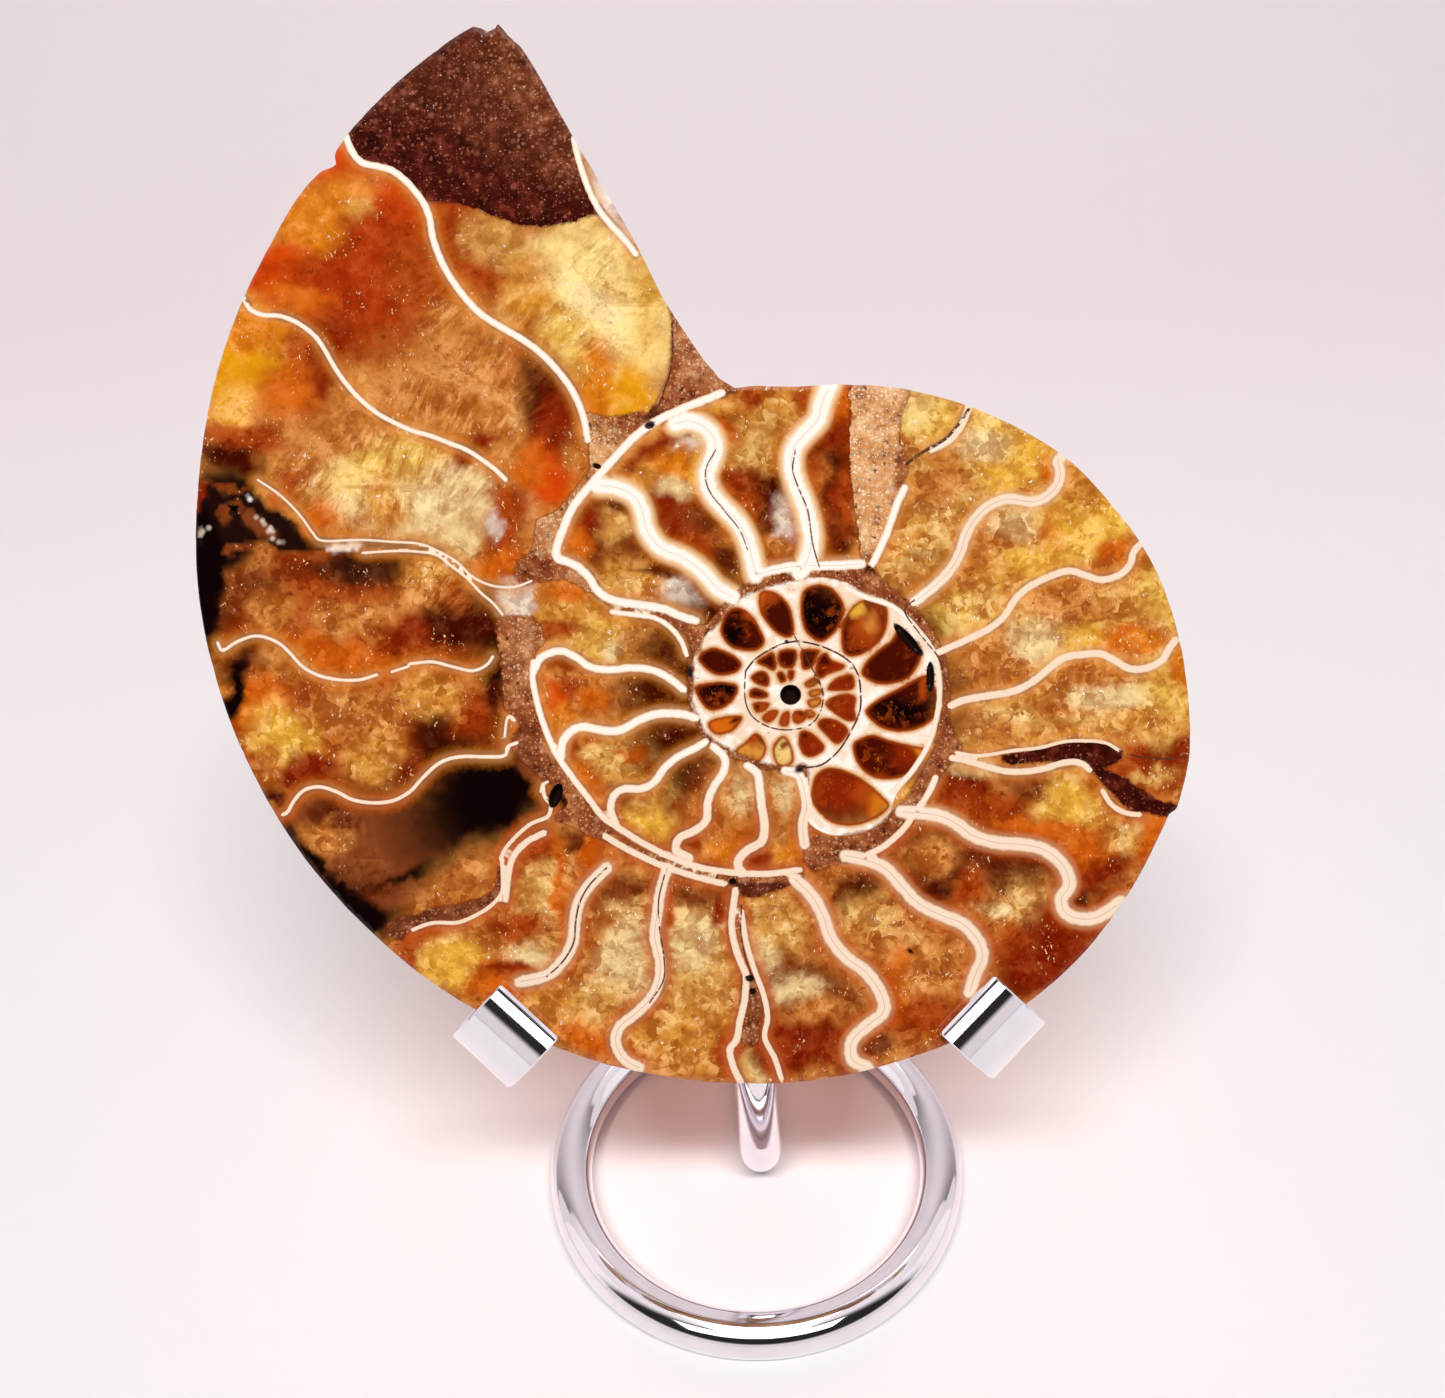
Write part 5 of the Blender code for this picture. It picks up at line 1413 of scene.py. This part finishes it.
def chamber_filling(nodes, at):
    """Calcite of the chambers: faceted clouds, fibres across the walls, and bright flecks that are
    painted glints.
    """
    paleness = nodes.between(nodes.split(at.tint)[1], 0.06, 0.36)
    dark = nodes.mix(1.0, at.tint, (0.5, 0.26, 0.12, 1.0), "MULTIPLY")
    bright = nodes.mix(1.0, at.tint, (1.45, 1.6, 1.6, 1.0), "MULTIPLY")
    bright = nodes.mix(nodes.between(paleness, 0.0, 0.5, 0.4, 0.0), bright,
                       (0.36, 0.12, 0.03, 1.0))
    bright = nodes.mix(nodes.times(paleness, 0.5), bright, (0.87, 0.69, 0.39, 1.0))

    # the large chambers beside the body chamber are smoother
    calm = nodes.times(nodes.between(at.up, 14.0, 20.0), nodes.between(at.across, -8.0, -15.0))
    clear = nodes.times(at.amount, nodes.between(calm, 0.0, 1.0, 1.0, 0.42))
    tone, cloud = at.crystal["Tone"], at.crystal["Cloud"]
    fill = at.tint
    for level, amount, share, colour in (
            (nodes.between(cloud, 0.52, 0.66), at.amount, 0.6, bright),
            (nodes.between(cloud, 0.54, 0.38), at.amount, 0.55, dark),
            (nodes.between(tone, 0.54, 0.36), clear, 0.8, dark),
            (nodes.between(tone, 0.52, 0.7), clear, 0.8, bright)):
        fill = nodes.mix(nodes.times(nodes.times(level, amount), share), fill, colour)
    spots = nodes.times(at.crystal["Rust"], nodes.times(at.amount, 0.55))
    fill = nodes.mix(spots, fill, nodes.mix(paleness, rgb("maroon"), rgb("rust")))

    joined = nodes.add("ShaderNodeCombineXYZ")
    nodes.feed(joined.inputs[0], at.along)
    nodes.feed(joined.inputs[1], nodes.times(at.wall, 0.2))
    nodes.feed(joined.inputs[2], nodes.times(at.ripple, 0.8))
    fibre, _ = nodes.noise(joined.outputs[0], 1.5, 3.0, 0.62)
    far = nodes.times(nodes.between(at.wall, 0.2, 1.3), at.fibrous)
    far = nodes.times(far, nodes.between(at.amount, 0.05, 0.3))
    fill = nodes.mix(nodes.times(far, nodes.between(fibre, 0.5, 0.68, 0.0, 0.75)), fill, bright)
    fill = nodes.mix(nodes.times(far, nodes.between(fibre, 0.48, 0.32, 0.0, 0.7)), fill, dark)
    # painted glints: peach and ivory flecks over the filling
    flecks = nodes.times(at.crystal["Painted Sparks"], nodes.between(at.amount, 0.15, 0.6))
    return nodes.mix(flecks, fill, nodes.mix(paleness, rgb("peach"), rgb("ivory")))


def wall_lining(nodes, at, fill):
    """Warm lining and a darker line along the walls, strongest low on the face."""
    room = nodes.math("ADD", at.wall, nodes.times(at.wobble, 1.3))
    glow = nodes.between(room, 1.6, 0.1, 0.0, nodes.between(at.low, 0.0, 1.0, 0.4, 0.68))
    fill = nodes.mix(glow, fill, nodes.mix(at.low, rgb("amber"), rgb("rust", 1.25)))
    halo = nodes.times(nodes.between(at.wall, -0.05, 0.1), nodes.between(at.wall, 0.5, 0.1))
    patchy = nodes.between(at.crystal["Cloud"], 0.4, 0.6, 0.6, 0.1)
    fill = nodes.mix(nodes.times(halo, patchy), fill, rgb("bark"))
    gleam = nodes.times(nodes.between(at.wall, 0.9, 0.0),
                        nodes.between(at.width, 0.3, 0.95, 0.15, 0.9))
    gleam = nodes.times(gleam, nodes.between(at.low, 0.0, 1.0, 1.0, 0.45))
    return nodes.mix(gleam, fill, rgb("peach"))


def small_whorls(nodes, at, fill):
    """Inner whorls: pale ground, dark fillings that fade into it through brown and amber."""
    depth = nodes.math("ADD", at.cell, nodes.times(at.wobble, 0.22))
    filling = nodes.mix(nodes.between(depth, 0.02, 0.5), rgb("rust", 0.8), at.tint)
    ember = nodes.times(nodes.between(at.crystal["Tone"], 0.52, 0.68),
                        nodes.between(depth, 0.2, 0.7, 0.0, 0.5))
    filling = nodes.mix(ember, filling, rgb("rust"))
    # painted glints: amber sparks in the dark fillings
    spark = nodes.times(at.crystal["Painted Sparks"], nodes.between(depth, 0.3, 0.7))
    filling = nodes.mix(nodes.times(spark, 0.6), filling, rgb("amber"))
    ground = nodes.mix(nodes.between(at.crystal["Cloud"], 0.4, 0.62), rgb("wall"), rgb("ivory"))
    ground = nodes.mix(nodes.between(at.ripple, 0.62, 0.7, 0.0, 0.5), ground, rgb("brown", 1.6))
    ground = nodes.mix(nodes.between(depth, -0.5, -0.05, 0.0, 0.75), ground, rgb("honey"))
    inner = nodes.mix(nodes.between(depth, -0.16, 0.1), ground, filling)
    return nodes.mix(nodes.between(at.whorl, -0.06, 0.12), fill, inner)


def toned(nodes, tone, dark, middle, pale):
    """A colour for the sediment's tone: nearly black, reddish brown, or sandy."""
    first = nodes.mix(nodes.between(tone, 0.0, 0.42), (*dark, 1.0), (*middle, 1.0))
    return nodes.mix(nodes.between(tone, 0.42, 1.0), first, (*pale, 1.0))


def sediment(nodes, at, fill, grit):
    """Sediment between the whorls, in patches, with grains, dark specks painted as the shade of
    small pits, and painted glints.
    """
    tone = at.mud_tone
    bed = toned(nodes, tone, (0.042, 0.004, 0.002), (0.26, 0.062, 0.018), (0.62, 0.28, 0.10))
    bed = nodes.mix(nodes.between(grit["Patches"], 0.48, 0.66, 0.0, 0.85), bed,
                    toned(nodes, tone, (0.16, 0.024, 0.012), (0.52, 0.20, 0.07),
                          (0.84, 0.52, 0.27)))
    bed = nodes.mix(nodes.between(grit["Patches"], 0.5, 0.34, 0.0, 0.9), bed,
                    toned(nodes, tone, (0.014, 0.002, 0.001), (0.10, 0.016, 0.005),
                          (0.24, 0.06, 0.015)))
    # painted shade of small pits
    bed = nodes.mix(nodes.times(grit["Painted Pit Shade"], nodes.between(tone, 0.1, 0.4, 0.2, 0.9)), bed,
                    toned(nodes, tone, (0.008, 0.001, 0.001), (0.05, 0.009, 0.004),
                          (0.11, 0.025, 0.01)))
    bed = nodes.mix(grit["Grains"], bed,
                    toned(nodes, tone, (0.34, 0.09, 0.05), (0.74, 0.40, 0.20),
                          (0.94, 0.74, 0.52)))
    # painted glints: near-white specks
    bed = nodes.mix(grit["Painted Shine Specks"], bed, (0.95, 0.85, 0.78, 1.0))
    depth = nodes.math("ADD", at.mud, nodes.times(at.wobble, 0.9))
    fill = nodes.mix(nodes.between(depth, -0.05, 0.06), fill, bed)
    brink = nodes.times(nodes.between(depth, -0.3, -0.05), nodes.between(depth, 0.05, -0.05))
    return nodes.mix(nodes.times(brink, 0.6), fill, rgb("bark"))


def septa_and_cracks(nodes, at, fill):
    """Cream septa and whorl walls with a seam in the thick ones, then dark cracks."""
    middle = nodes.math("ADD", at.wall, at.width)
    edge = nodes.math("ADD", at.wall, nodes.times(at.wobble, nodes.times(at.width, 0.6)))
    soft = nodes.between(at.width, 0.15, 0.9, 0.05, 0.22)
    line = nodes.between(edge, soft, nodes.times(soft, -0.7))
    aside = nodes.math("MAXIMUM", at.low, nodes.between(at.across, 12.0, 20.0))
    pale = nodes.mix(nodes.times(aside, 0.8), rgb("ivory"), rgb("wall"))
    cream = nodes.mix(nodes.between(edge, -0.3, 0.04), pale, rgb("wall"))
    seam = nodes.times(nodes.between(at.width, 0.42, 0.55),
                       nodes.between(middle, 0.07, 0.0, 0.0, 0.5))
    fill = nodes.mix(line, fill, nodes.mix(seam, cream, rgb("rust")))
    split = nodes.times(nodes.between(at.crack, 0.06, -0.02), nodes.between(at.ripple, 0.35, 0.5))
    return nodes.mix(split, fill, (0.10, 0.03, 0.015, 1.0))


def face_material(crystals, grains):
    """The polished cut face, from its fillings up to its walls, cracks, and the holes painted dark
    as their shade.
    """
    material, nodes, shader = new_material("polished section")
    at = face_inputs(nodes, crystals)
    density = nodes.between(at.mud_tone, -0.4, 1.0, 0.12, 0.7)
    grit = use_group(nodes, grains, Place=at.place, Density=density)
    fill = chamber_filling(nodes, at)
    fill = wall_lining(nodes, at, fill)
    fill = small_whorls(nodes, at, fill)
    fill = sediment(nodes, at, fill, grit)
    fill = septa_and_cracks(nodes, at, fill)
    # painted shade: open holes are painted nearly black below a small depth, apart from the scooped
    # chip near the top
    hollow = nodes.times(nodes.between(at.depth, -0.16, -0.4), nodes.between(at.up, 44.0, 40.0))
    fill = nodes.mix(hollow, fill, (0.012, 0.005, 0.004, 1.0))
    nodes.feed(shader.inputs["Base Color"], fill)
    rough = nodes.math("ADD", 0.11, nodes.times(grit["Grains"], 0.05))
    nodes.feed(shader.inputs["Roughness"], rough)
    shader.inputs["Specular IOR Level"].default_value = 0.3
    pits, _ = nodes.noise(at.place, 2.0, 3.0, 0.6)
    nodes.feed(shader.inputs["Normal"], nodes.bump(pits, 0.06, 0.0002))
    return material


def shell_material():
    """Pearly brown shell behind, with leafy suture lines."""
    material, nodes, shader = new_material("pearly shell")
    place = nodes.attribute("face_place")["Vector"]
    turned, share, _ = nodes.split(nodes.attribute("coil")["Vector"])
    cloud, push = nodes.noise(place, 0.12, 5.0, 0.6, 0.4)
    fine, _ = nodes.noise(place, 1.2, 4.0, 0.6)
    base = nodes.ramp(cloud, ((0.25, rgb("brown", 0.8)), (0.45, rgb("tan", 0.8)),
                              (0.6, rgb("cream", 0.9)), (0.8, rgb("honey", 0.8))))
    bands = nodes.add("ShaderNodeTexWave", bands_direction="X")
    bands.inputs["Scale"].default_value = 24.0
    bands.inputs["Distortion"].default_value = 1.5
    joined = nodes.add("ShaderNodeCombineXYZ")
    nodes.feed(joined.inputs[0], turned)
    nodes.feed(joined.inputs[1], share)
    nodes.feed(bands.inputs["Vector"], joined.outputs[0])
    base = nodes.mix(nodes.times(bands.outputs["Fac"], 0.25), base, rgb("bark"))

    # suture lines
    wave = nodes.math("SINE", nodes.times(share, 19.0))
    leaf = nodes.math("SINE", nodes.times(share, 61.0))
    swing = nodes.math("ADD", nodes.times(wave, 0.16), nodes.times(leaf, 0.08))
    wiggle = nodes.times(nodes.math("SUBTRACT", fine, 0.5), 0.35)
    phase = nodes.math("ADD", nodes.times(turned, 22.0), swing)
    phase = nodes.math("FRACT", nodes.math("ADD", phase, wiggle))
    off = nodes.math("ABSOLUTE", nodes.math("SUBTRACT", phase, 0.5))
    base = nodes.mix(nodes.times(nodes.between(off, 0.05, 0.02), 0.75), base, rgb("bark", 0.7))

    pearl = nodes.ramp(nodes.noise(nodes.shift(place, push, 6.0), 0.09, 2.0, 0.5)[0],
                       ((0.3, (0.55, 0.32, 0.22, 1.0)), (0.45, (0.62, 0.55, 0.32, 1.0)),
                        (0.55, (0.35, 0.52, 0.42, 1.0)), (0.7, (0.62, 0.34, 0.36, 1.0))))
    base = nodes.mix(0.16, base, pearl)
    nodes.feed(shader.inputs["Base Color"], base)
    nodes.feed(shader.inputs["Roughness"], nodes.between(fine, 0.3, 0.7, 0.2, 0.34))
    shader.inputs["Coat Weight"].default_value = 0.4
    shader.inputs["Coat Roughness"].default_value = 0.08
    nodes.feed(shader.inputs["Normal"], nodes.bump(fine, 0.25, 0.0004))
    return material


def chrome_material():
    """Bright chrome plate with faint polishing marks and a little dust."""
    material, nodes, shader = new_material("bright chrome")
    place = nodes.add("ShaderNodeTexCoord").outputs["Object"]
    haze, _ = nodes.noise(place, 160.0, 4.0, 0.6)
    scratches, _ = nodes.noise(place, 1400.0, 2.0, 0.5)
    shader.inputs["Metallic"].default_value = 1.0
    tone = nodes.mix(nodes.between(haze, 0.4, 0.75), (0.90, 0.87, 0.92, 1.0),
                     (0.84, 0.81, 0.86, 1.0))
    nodes.feed(shader.inputs["Base Color"], tone)
    nodes.feed(shader.inputs["Roughness"], nodes.between(haze, 0.3, 0.75, 0.04, 0.09))
    nodes.feed(shader.inputs["Normal"], nodes.bump(scratches, 0.03, 0.00003))
    return material


def add_piece(name, mesh, materials, slot, *nodes_replaced):
    """Put a finished mesh in the scene as a piece that stands for its solid."""
    for material in materials:
        mesh.materials.append(material)
    piece = bpy.data.objects.new(name, mesh)
    bpy.context.collection.objects.link(piece)
    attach(piece, "root")
    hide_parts(*nodes_replaced)
    if slot == "stand":
        bpy.data.collections["chrome pieces"].objects.link(piece)
    return piece


def finish_mesh(name, work, sharp=35.0):
    """Turn a bmesh in millimetres into a smooth mesh in metres."""
    bmesh.ops.recalc_face_normals(work, faces=work.faces)
    bmesh.ops.scale(work, vec=(MM, MM, MM), verts=work.verts)
    mesh = bpy.data.meshes.new(name)
    work.to_mesh(mesh)
    work.free()
    mesh.shade_smooth()
    mesh.set_sharp_from_angle(angle=math.radians(sharp))
    return mesh


def bridge(work, rings, closed=False):
    """Faces between each ring of points and the next, and back to the first if closed."""
    for near, far in zip(rings, rings[1:] + rings[:1] if closed else rings[1:]):
        for j in range(len(near)):
            after = (j + 1) % len(near)
            work.faces.new((near[j], near[after], far[after], far[j]))


def build_ring():
    """Base ring of round rod."""
    work = bmesh.new()
    rings = []
    for k in range(RING_STEPS):
        bearing = 2 * math.pi * k / RING_STEPS
        ring = []
        for j in range(ROD_SIDES):
            angle = 2 * math.pi * j / ROD_SIDES
            reach = RING_RADIUS + ROD_RADIUS * math.cos(angle)
            height = ROD_RADIUS + ROD_RADIUS * math.sin(angle)
            ring.append(work.verts.new(RING_MIDDLE + Vector((
                reach * math.cos(bearing), reach * math.sin(bearing), height))))
        rings.append(ring)
    bridge(work, rings, closed=True)
    return finish_mesh("base_ring_looks", work)


def rounded_path(corners, radii, steps):
    """Straight runs between the corners, with each inner corner rounded to its radius."""
    path = [corners[0]]
    for before, corner, after, radius in zip(corners, corners[1:], corners[2:], radii):
        come = (corner - before).normalized()
        leave = (after - corner).normalized()
        turn = come.angle(leave)
        back = radius * math.tan(turn / 2)
        inward = (leave - come).normalized()
        centre = corner + inward * radius / math.cos(turn / 2)
        spoke = corner - come * back - centre
        axis = come.cross(leave)
        for k in range(steps + 1):
            path.append(centre + Matrix.Rotation(turn * k / steps, 3, axis) @ spoke)
    path.append(corners[-1])
    return path


def build_stem():
    """Rod from a weld at the back of the ring, along the table, up, and behind the arms."""
    back_rest = -FACE_OUT * STEM_DEPTH + Vector((
        RING_MIDDLE.x + CRADLE_OFFSET, COIL_CENTRE.y, COIL_CENTRE.z))
    start = RING_MIDDLE + Vector((0.0, RING_RADIUS - ROD_RADIUS + WELD_SINK, STEM_FOOT.z))
    corners = [start, STEM_FOOT, back_rest + FACE_UP * STEM_BEND, back_rest + FACE_UP * STEM_TOP]
    path = rounded_path(corners, (FOOT_BEND_RADIUS, TOP_BEND_RADIUS), BEND_STEPS)
    ahead = (path[1] - path[0]).normalized()
    swell = [(path[0] + ahead * along, grow) for along, grow in WELD]
    top = (path[-1] - path[-2]).normalized()
    cap = [(path[-1] - top * back, grow) for back, grow in ROD_END]
    route = swell + [(spot, 0.0) for spot in path[1:-1]] + cap
    work = bmesh.new()
    side = SIDEWAYS
    rings = []
    for k, (spot, grow) in enumerate(route):
        ahead = (route[min(k + 1, len(route) - 1)][0] - route[max(k - 1, 0)][0]).normalized()
        side = (side - ahead * side.dot(ahead)).normalized()
        other = ahead.cross(side)
        ring = []
        for j in range(ROD_SIDES):
            angle = 2 * math.pi * j / ROD_SIDES
            point = spot + (ROD_RADIUS + grow) * (side * math.cos(angle)
                                                  + other * math.sin(angle))
            if k < len(swell):
                point.z = min(max(point.z, FLOOR_CLEARANCE), 2 * ROD_RADIUS)
            ring.append(work.verts.new(point))
        rings.append(ring)
    bridge(work, rings)
    work.faces.new(rings[0])
    work.faces.new(rings[-1])
    return finish_mesh("stem_looks", work, 50.0)


def arm_line(reach, offset):
    """Side view of one face of the bent strip: along the arm and out of the face."""
    bend = reach + LIP_STRAIGHT
    centre = -ARM_DEPTH + HOOK_RADIUS
    radius = HOOK_RADIUS + offset
    line = [(a, -ARM_DEPTH - offset) for a in np.linspace(-6.0, bend - 0.5, 24)]
    for k in range(HOOK_STEPS + 1):
        angle = math.pi * k / HOOK_STEPS - math.pi / 2
        line.append((bend + radius * math.cos(angle), centre + radius * math.sin(angle)))
    for share in np.linspace(0.12, 1.0, 12):
        a = bend - share * (LIP_STRAIGHT - LIP_INSET)
        dip = LIP_DIP * share**2
        line.append((a, LIP_CLEARANCE + offset - dip))
    return line


def build_arm(side):
    """Flat strip behind the fossil, bent round its rim into a hook with a short lip."""
    sign = -1.0 if side == "left" else 1.0
    along = SIDEWAYS * sign * math.sin(ARM_ANGLE) - FACE_UP * math.cos(ARM_ANGLE)
    across = along.cross(FACE_OUT)
    fork = (Vector((RING_MIDDLE.x + CRADLE_OFFSET, COIL_CENTRE.y, COIL_CENTRE.z))
            + FACE_UP * FORK_HEIGHT)
    half = STRIP_WIDTH / 2
    inner, outer = STRIP_BEVEL, STRIP_THICKNESS - STRIP_BEVEL
    profile = [(-half + STRIP_BEVEL, 0.0), (half - STRIP_BEVEL, 0.0), (half, inner),
               (half, outer), (half - STRIP_BEVEL, STRIP_THICKNESS),
               (-half + STRIP_BEVEL, STRIP_THICKNESS), (-half, outer), (-half, inner)]
    lines = {level: arm_line(ARM_REACH[side], level)
             for level in (0.0, inner, outer, STRIP_THICKNESS)}
    work = bmesh.new()
    rings = []
    for k in range(len(lines[0.0])):
        ring = []
        for width, level in profile:
            a, n = lines[level][k]
            ring.append(work.verts.new(fork + along * a + FACE_OUT * n + across * width))
        rings.append(ring)
    last = []
    for width, level in profile:
        a, _ = lines[level][-1]
        middle = STRIP_THICKNESS / 2
        n = LIP_CLEARANCE - LIP_DIP + middle + (level - middle) * LIP_END_THICKNESS
        last.append(work.verts.new(fork + along * (a - LIP_INSET) + FACE_OUT * n
                                   + across * width * (1.0 - LIP_INSET / half)))
    rings.append(last)
    bridge(work, rings)
    work.faces.new(rings[0])
    work.faces.new(rings[-1])
    cut = bmesh.ops.bisect_plane(
        work, geom=work.verts[:] + work.edges[:] + work.faces[:], clear_inner=True,
        plane_co=fork + SIDEWAYS * sign * FORK_CUT, plane_no=SIDEWAYS * sign)
    rim = [item for item in cut["geom_cut"] if isinstance(item, bmesh.types.BMEdge)]
    bmesh.ops.holes_fill(work, edges=rim)
    return finish_mesh(f"cradle_arm_{side}_looks", work, 30.0)


def build_stage():
    """Pale table that sweeps up behind, seen from above; its colour grows paler and pinker towards
    the back, painted light that stands in for the light on the sweep.
    """
    material, nodes, shader = new_material("pale table")
    _, back, _ = nodes.split(nodes.add("ShaderNodeTexCoord").outputs["Object"])
    # painted light: paler and pinker towards the back
    tone = nodes.mix(nodes.between(back, -0.03, 0.3), (0.84, 0.83, 0.845, 1.0),
                     (0.92, 0.84, 0.86, 1.0))
    nodes.feed(shader.inputs["Base Color"], tone)
    shader.inputs["Roughness"].default_value = 0.55
    work = bmesh.new()
    profile = [(TABLE_FRONT, 0.0), (SWEEP_START, 0.0)]
    for k in range(1, SWEEP_STEPS + 1):
        angle = math.pi / 2 * k / SWEEP_STEPS
        profile.append((SWEEP_START + SWEEP_RADIUS * math.sin(angle),
                        SWEEP_RADIUS * (1 - math.cos(angle))))
    profile.append((SWEEP_START + SWEEP_RADIUS, SWEEP_TOP))
    lines = []
    for x in (-TABLE_HALF_WIDTH, TABLE_HALF_WIDTH):
        lines.append([work.verts.new((x, y, z)) for y, z in profile])
    for k in range(len(profile) - 1):
        work.faces.new((lines[0][k], lines[1][k], lines[1][k + 1], lines[0][k + 1]))
    bmesh.ops.recalc_face_normals(work, faces=work.faces)
    mesh = bpy.data.meshes.new("table")
    work.to_mesh(mesh)
    work.free()
    mesh.shade_smooth()
    mesh.materials.append(material)
    table = bpy.data.objects.new("table", mesh)
    bpy.context.collection.objects.link(table)


def add_area(name, place, target, width, height, power, colour):
    """A soft rectangular light."""
    light = bpy.data.lights.new(name, "AREA")
    light.shape = "RECTANGLE"
    light.size = width
    light.size_y = height
    light.energy = power
    light.color = colour
    lamp = bpy.data.objects.new(name, light)
    lamp.location = place
    lamp.rotation_mode = "QUATERNION"
    lamp.rotation_quaternion = (Vector(target) - Vector(place)).to_track_quat("-Z", "Y")
    bpy.context.collection.objects.link(lamp)
    return lamp


def build_world():
    """Light tent: pale sides, a bright ceiling, and a dark opening round the camera."""
    world = bpy.data.worlds.new("tent")
    world.use_nodes = True
    bpy.context.scene.world = world
    nodes = Nodes(world.node_tree)
    x, y, z = nodes.split(nodes.add("ShaderNodeTexCoord").outputs["Generated"])
    opening = nodes.times(nodes.between(y, -0.12, -0.42), nodes.between(z, 0.2, 0.33))
    opening = nodes.times(opening, nodes.between(z, 0.94, 0.9))
    from_panel = nodes.math("ABSOLUTE", nodes.math("SUBTRACT", y, 0.18))
    panel = nodes.times(nodes.between(nodes.math("ABSOLUTE", x), 0.24, 0.2),
                        nodes.between(from_panel, 0.62, 0.58))
    panel = nodes.times(panel, nodes.between(z, 0.1, 0.2))
    walls = nodes.between(panel, 0.0, 1.0, nodes.between(z, 0.6, 0.95, 0.8, 0.95), 3.0)
    seen = nodes.times(walls, nodes.math("SUBTRACT", 1.0, nodes.times(opening, 0.97)))
    mirrored = nodes.add("ShaderNodeLightPath").outputs["Is Glossy Ray"]
    strength = nodes.between(mirrored, 0.0, 1.0, TENT_FILL, seen)
    background = world.node_tree.nodes["Background"]
    background.inputs["Color"].default_value = (1.0, 0.92, 0.94, 1.0)
    nodes.feed(background.inputs["Strength"], strength)


def build_lights():
    """Light strip above the front, softer sides, and warm light through the stone."""
    build_world()
    strip = add_area("strip", (0.0, -0.66, 1.3), (0.0, 0.0, 0.05), 1.1, 0.12,
                     STRIP_POWER, (1.0, 0.985, 0.975))
    strip.visible_glossy = False
    for name, x in (("left", -0.5), ("right", 0.5)):
        add_area(name, (x, -0.05, 0.25), (0.0, 0.0, 0.08), 0.3, 0.4, SIDE_POWER,
                 (1.0, 0.97, 0.96))
    sheen = add_area("sheen on the chrome", (0.0, -0.24, 0.29), (0.0, -0.03, 0.0), 0.36, 0.13,
                     SHEEN_POWER, (1.0, 0.99, 1.0))
    sheen.light_linking.receiver_collection = bpy.data.collections["chrome pieces"]
    glow = add_area("through stone", (0.006, 0.004, 0.05), (0.006, 0.0, 0.0), 0.09, 0.04,
                    GLOW_POWER, (1.0, 0.22, 0.06))
    glow.visible_glossy = False


def build_camera():
    """The photograph's own view: looking square onto the cut face."""
    camera = bpy.data.cameras.new("view")
    camera.lens = CAMERA_LENS
    camera.sensor_width = CAMERA_SENSOR
    camera.clip_start = 0.01
    camera.clip_end = 20.0
    eye = bpy.data.objects.new("view", camera)
    turn = Matrix((FACE_ACROSS, FACE_RISE, FACE_OUT)).transposed()
    place = (RING_MIDDLE + CAMERA_PLACE) * MM
    eye.matrix_world = Matrix.Translation(place) @ turn.to_4x4()
    bpy.context.collection.objects.link(eye)
    bpy.context.scene.camera = eye


def main():
    """The stage, the fossil half and the stand's four pieces."""
    crystals = crystal_group()
    grains = speckle_group()
    chrome = chrome_material()
    bpy.data.collections.new("chrome pieces")
    build_camera()
    build_stage()
    build_lights()
    add_piece("polished_half", build_stone(), [face_material(crystals, grains), shell_material()],
              "fossil", "ammonite_half")
    add_piece("ring_of_rod", build_ring(), [chrome], "stand", "base_ring")
    add_piece("bent_stem", build_stem(), [chrome], "stand", "stem")
    for side in ("left", "right"):
        add_piece(f"hooked_arm_{side}", build_arm(side), [chrome], "stand", f"cradle_arm_{side}")
    bpy.context.scene.view_settings.view_transform = "Standard"


main()
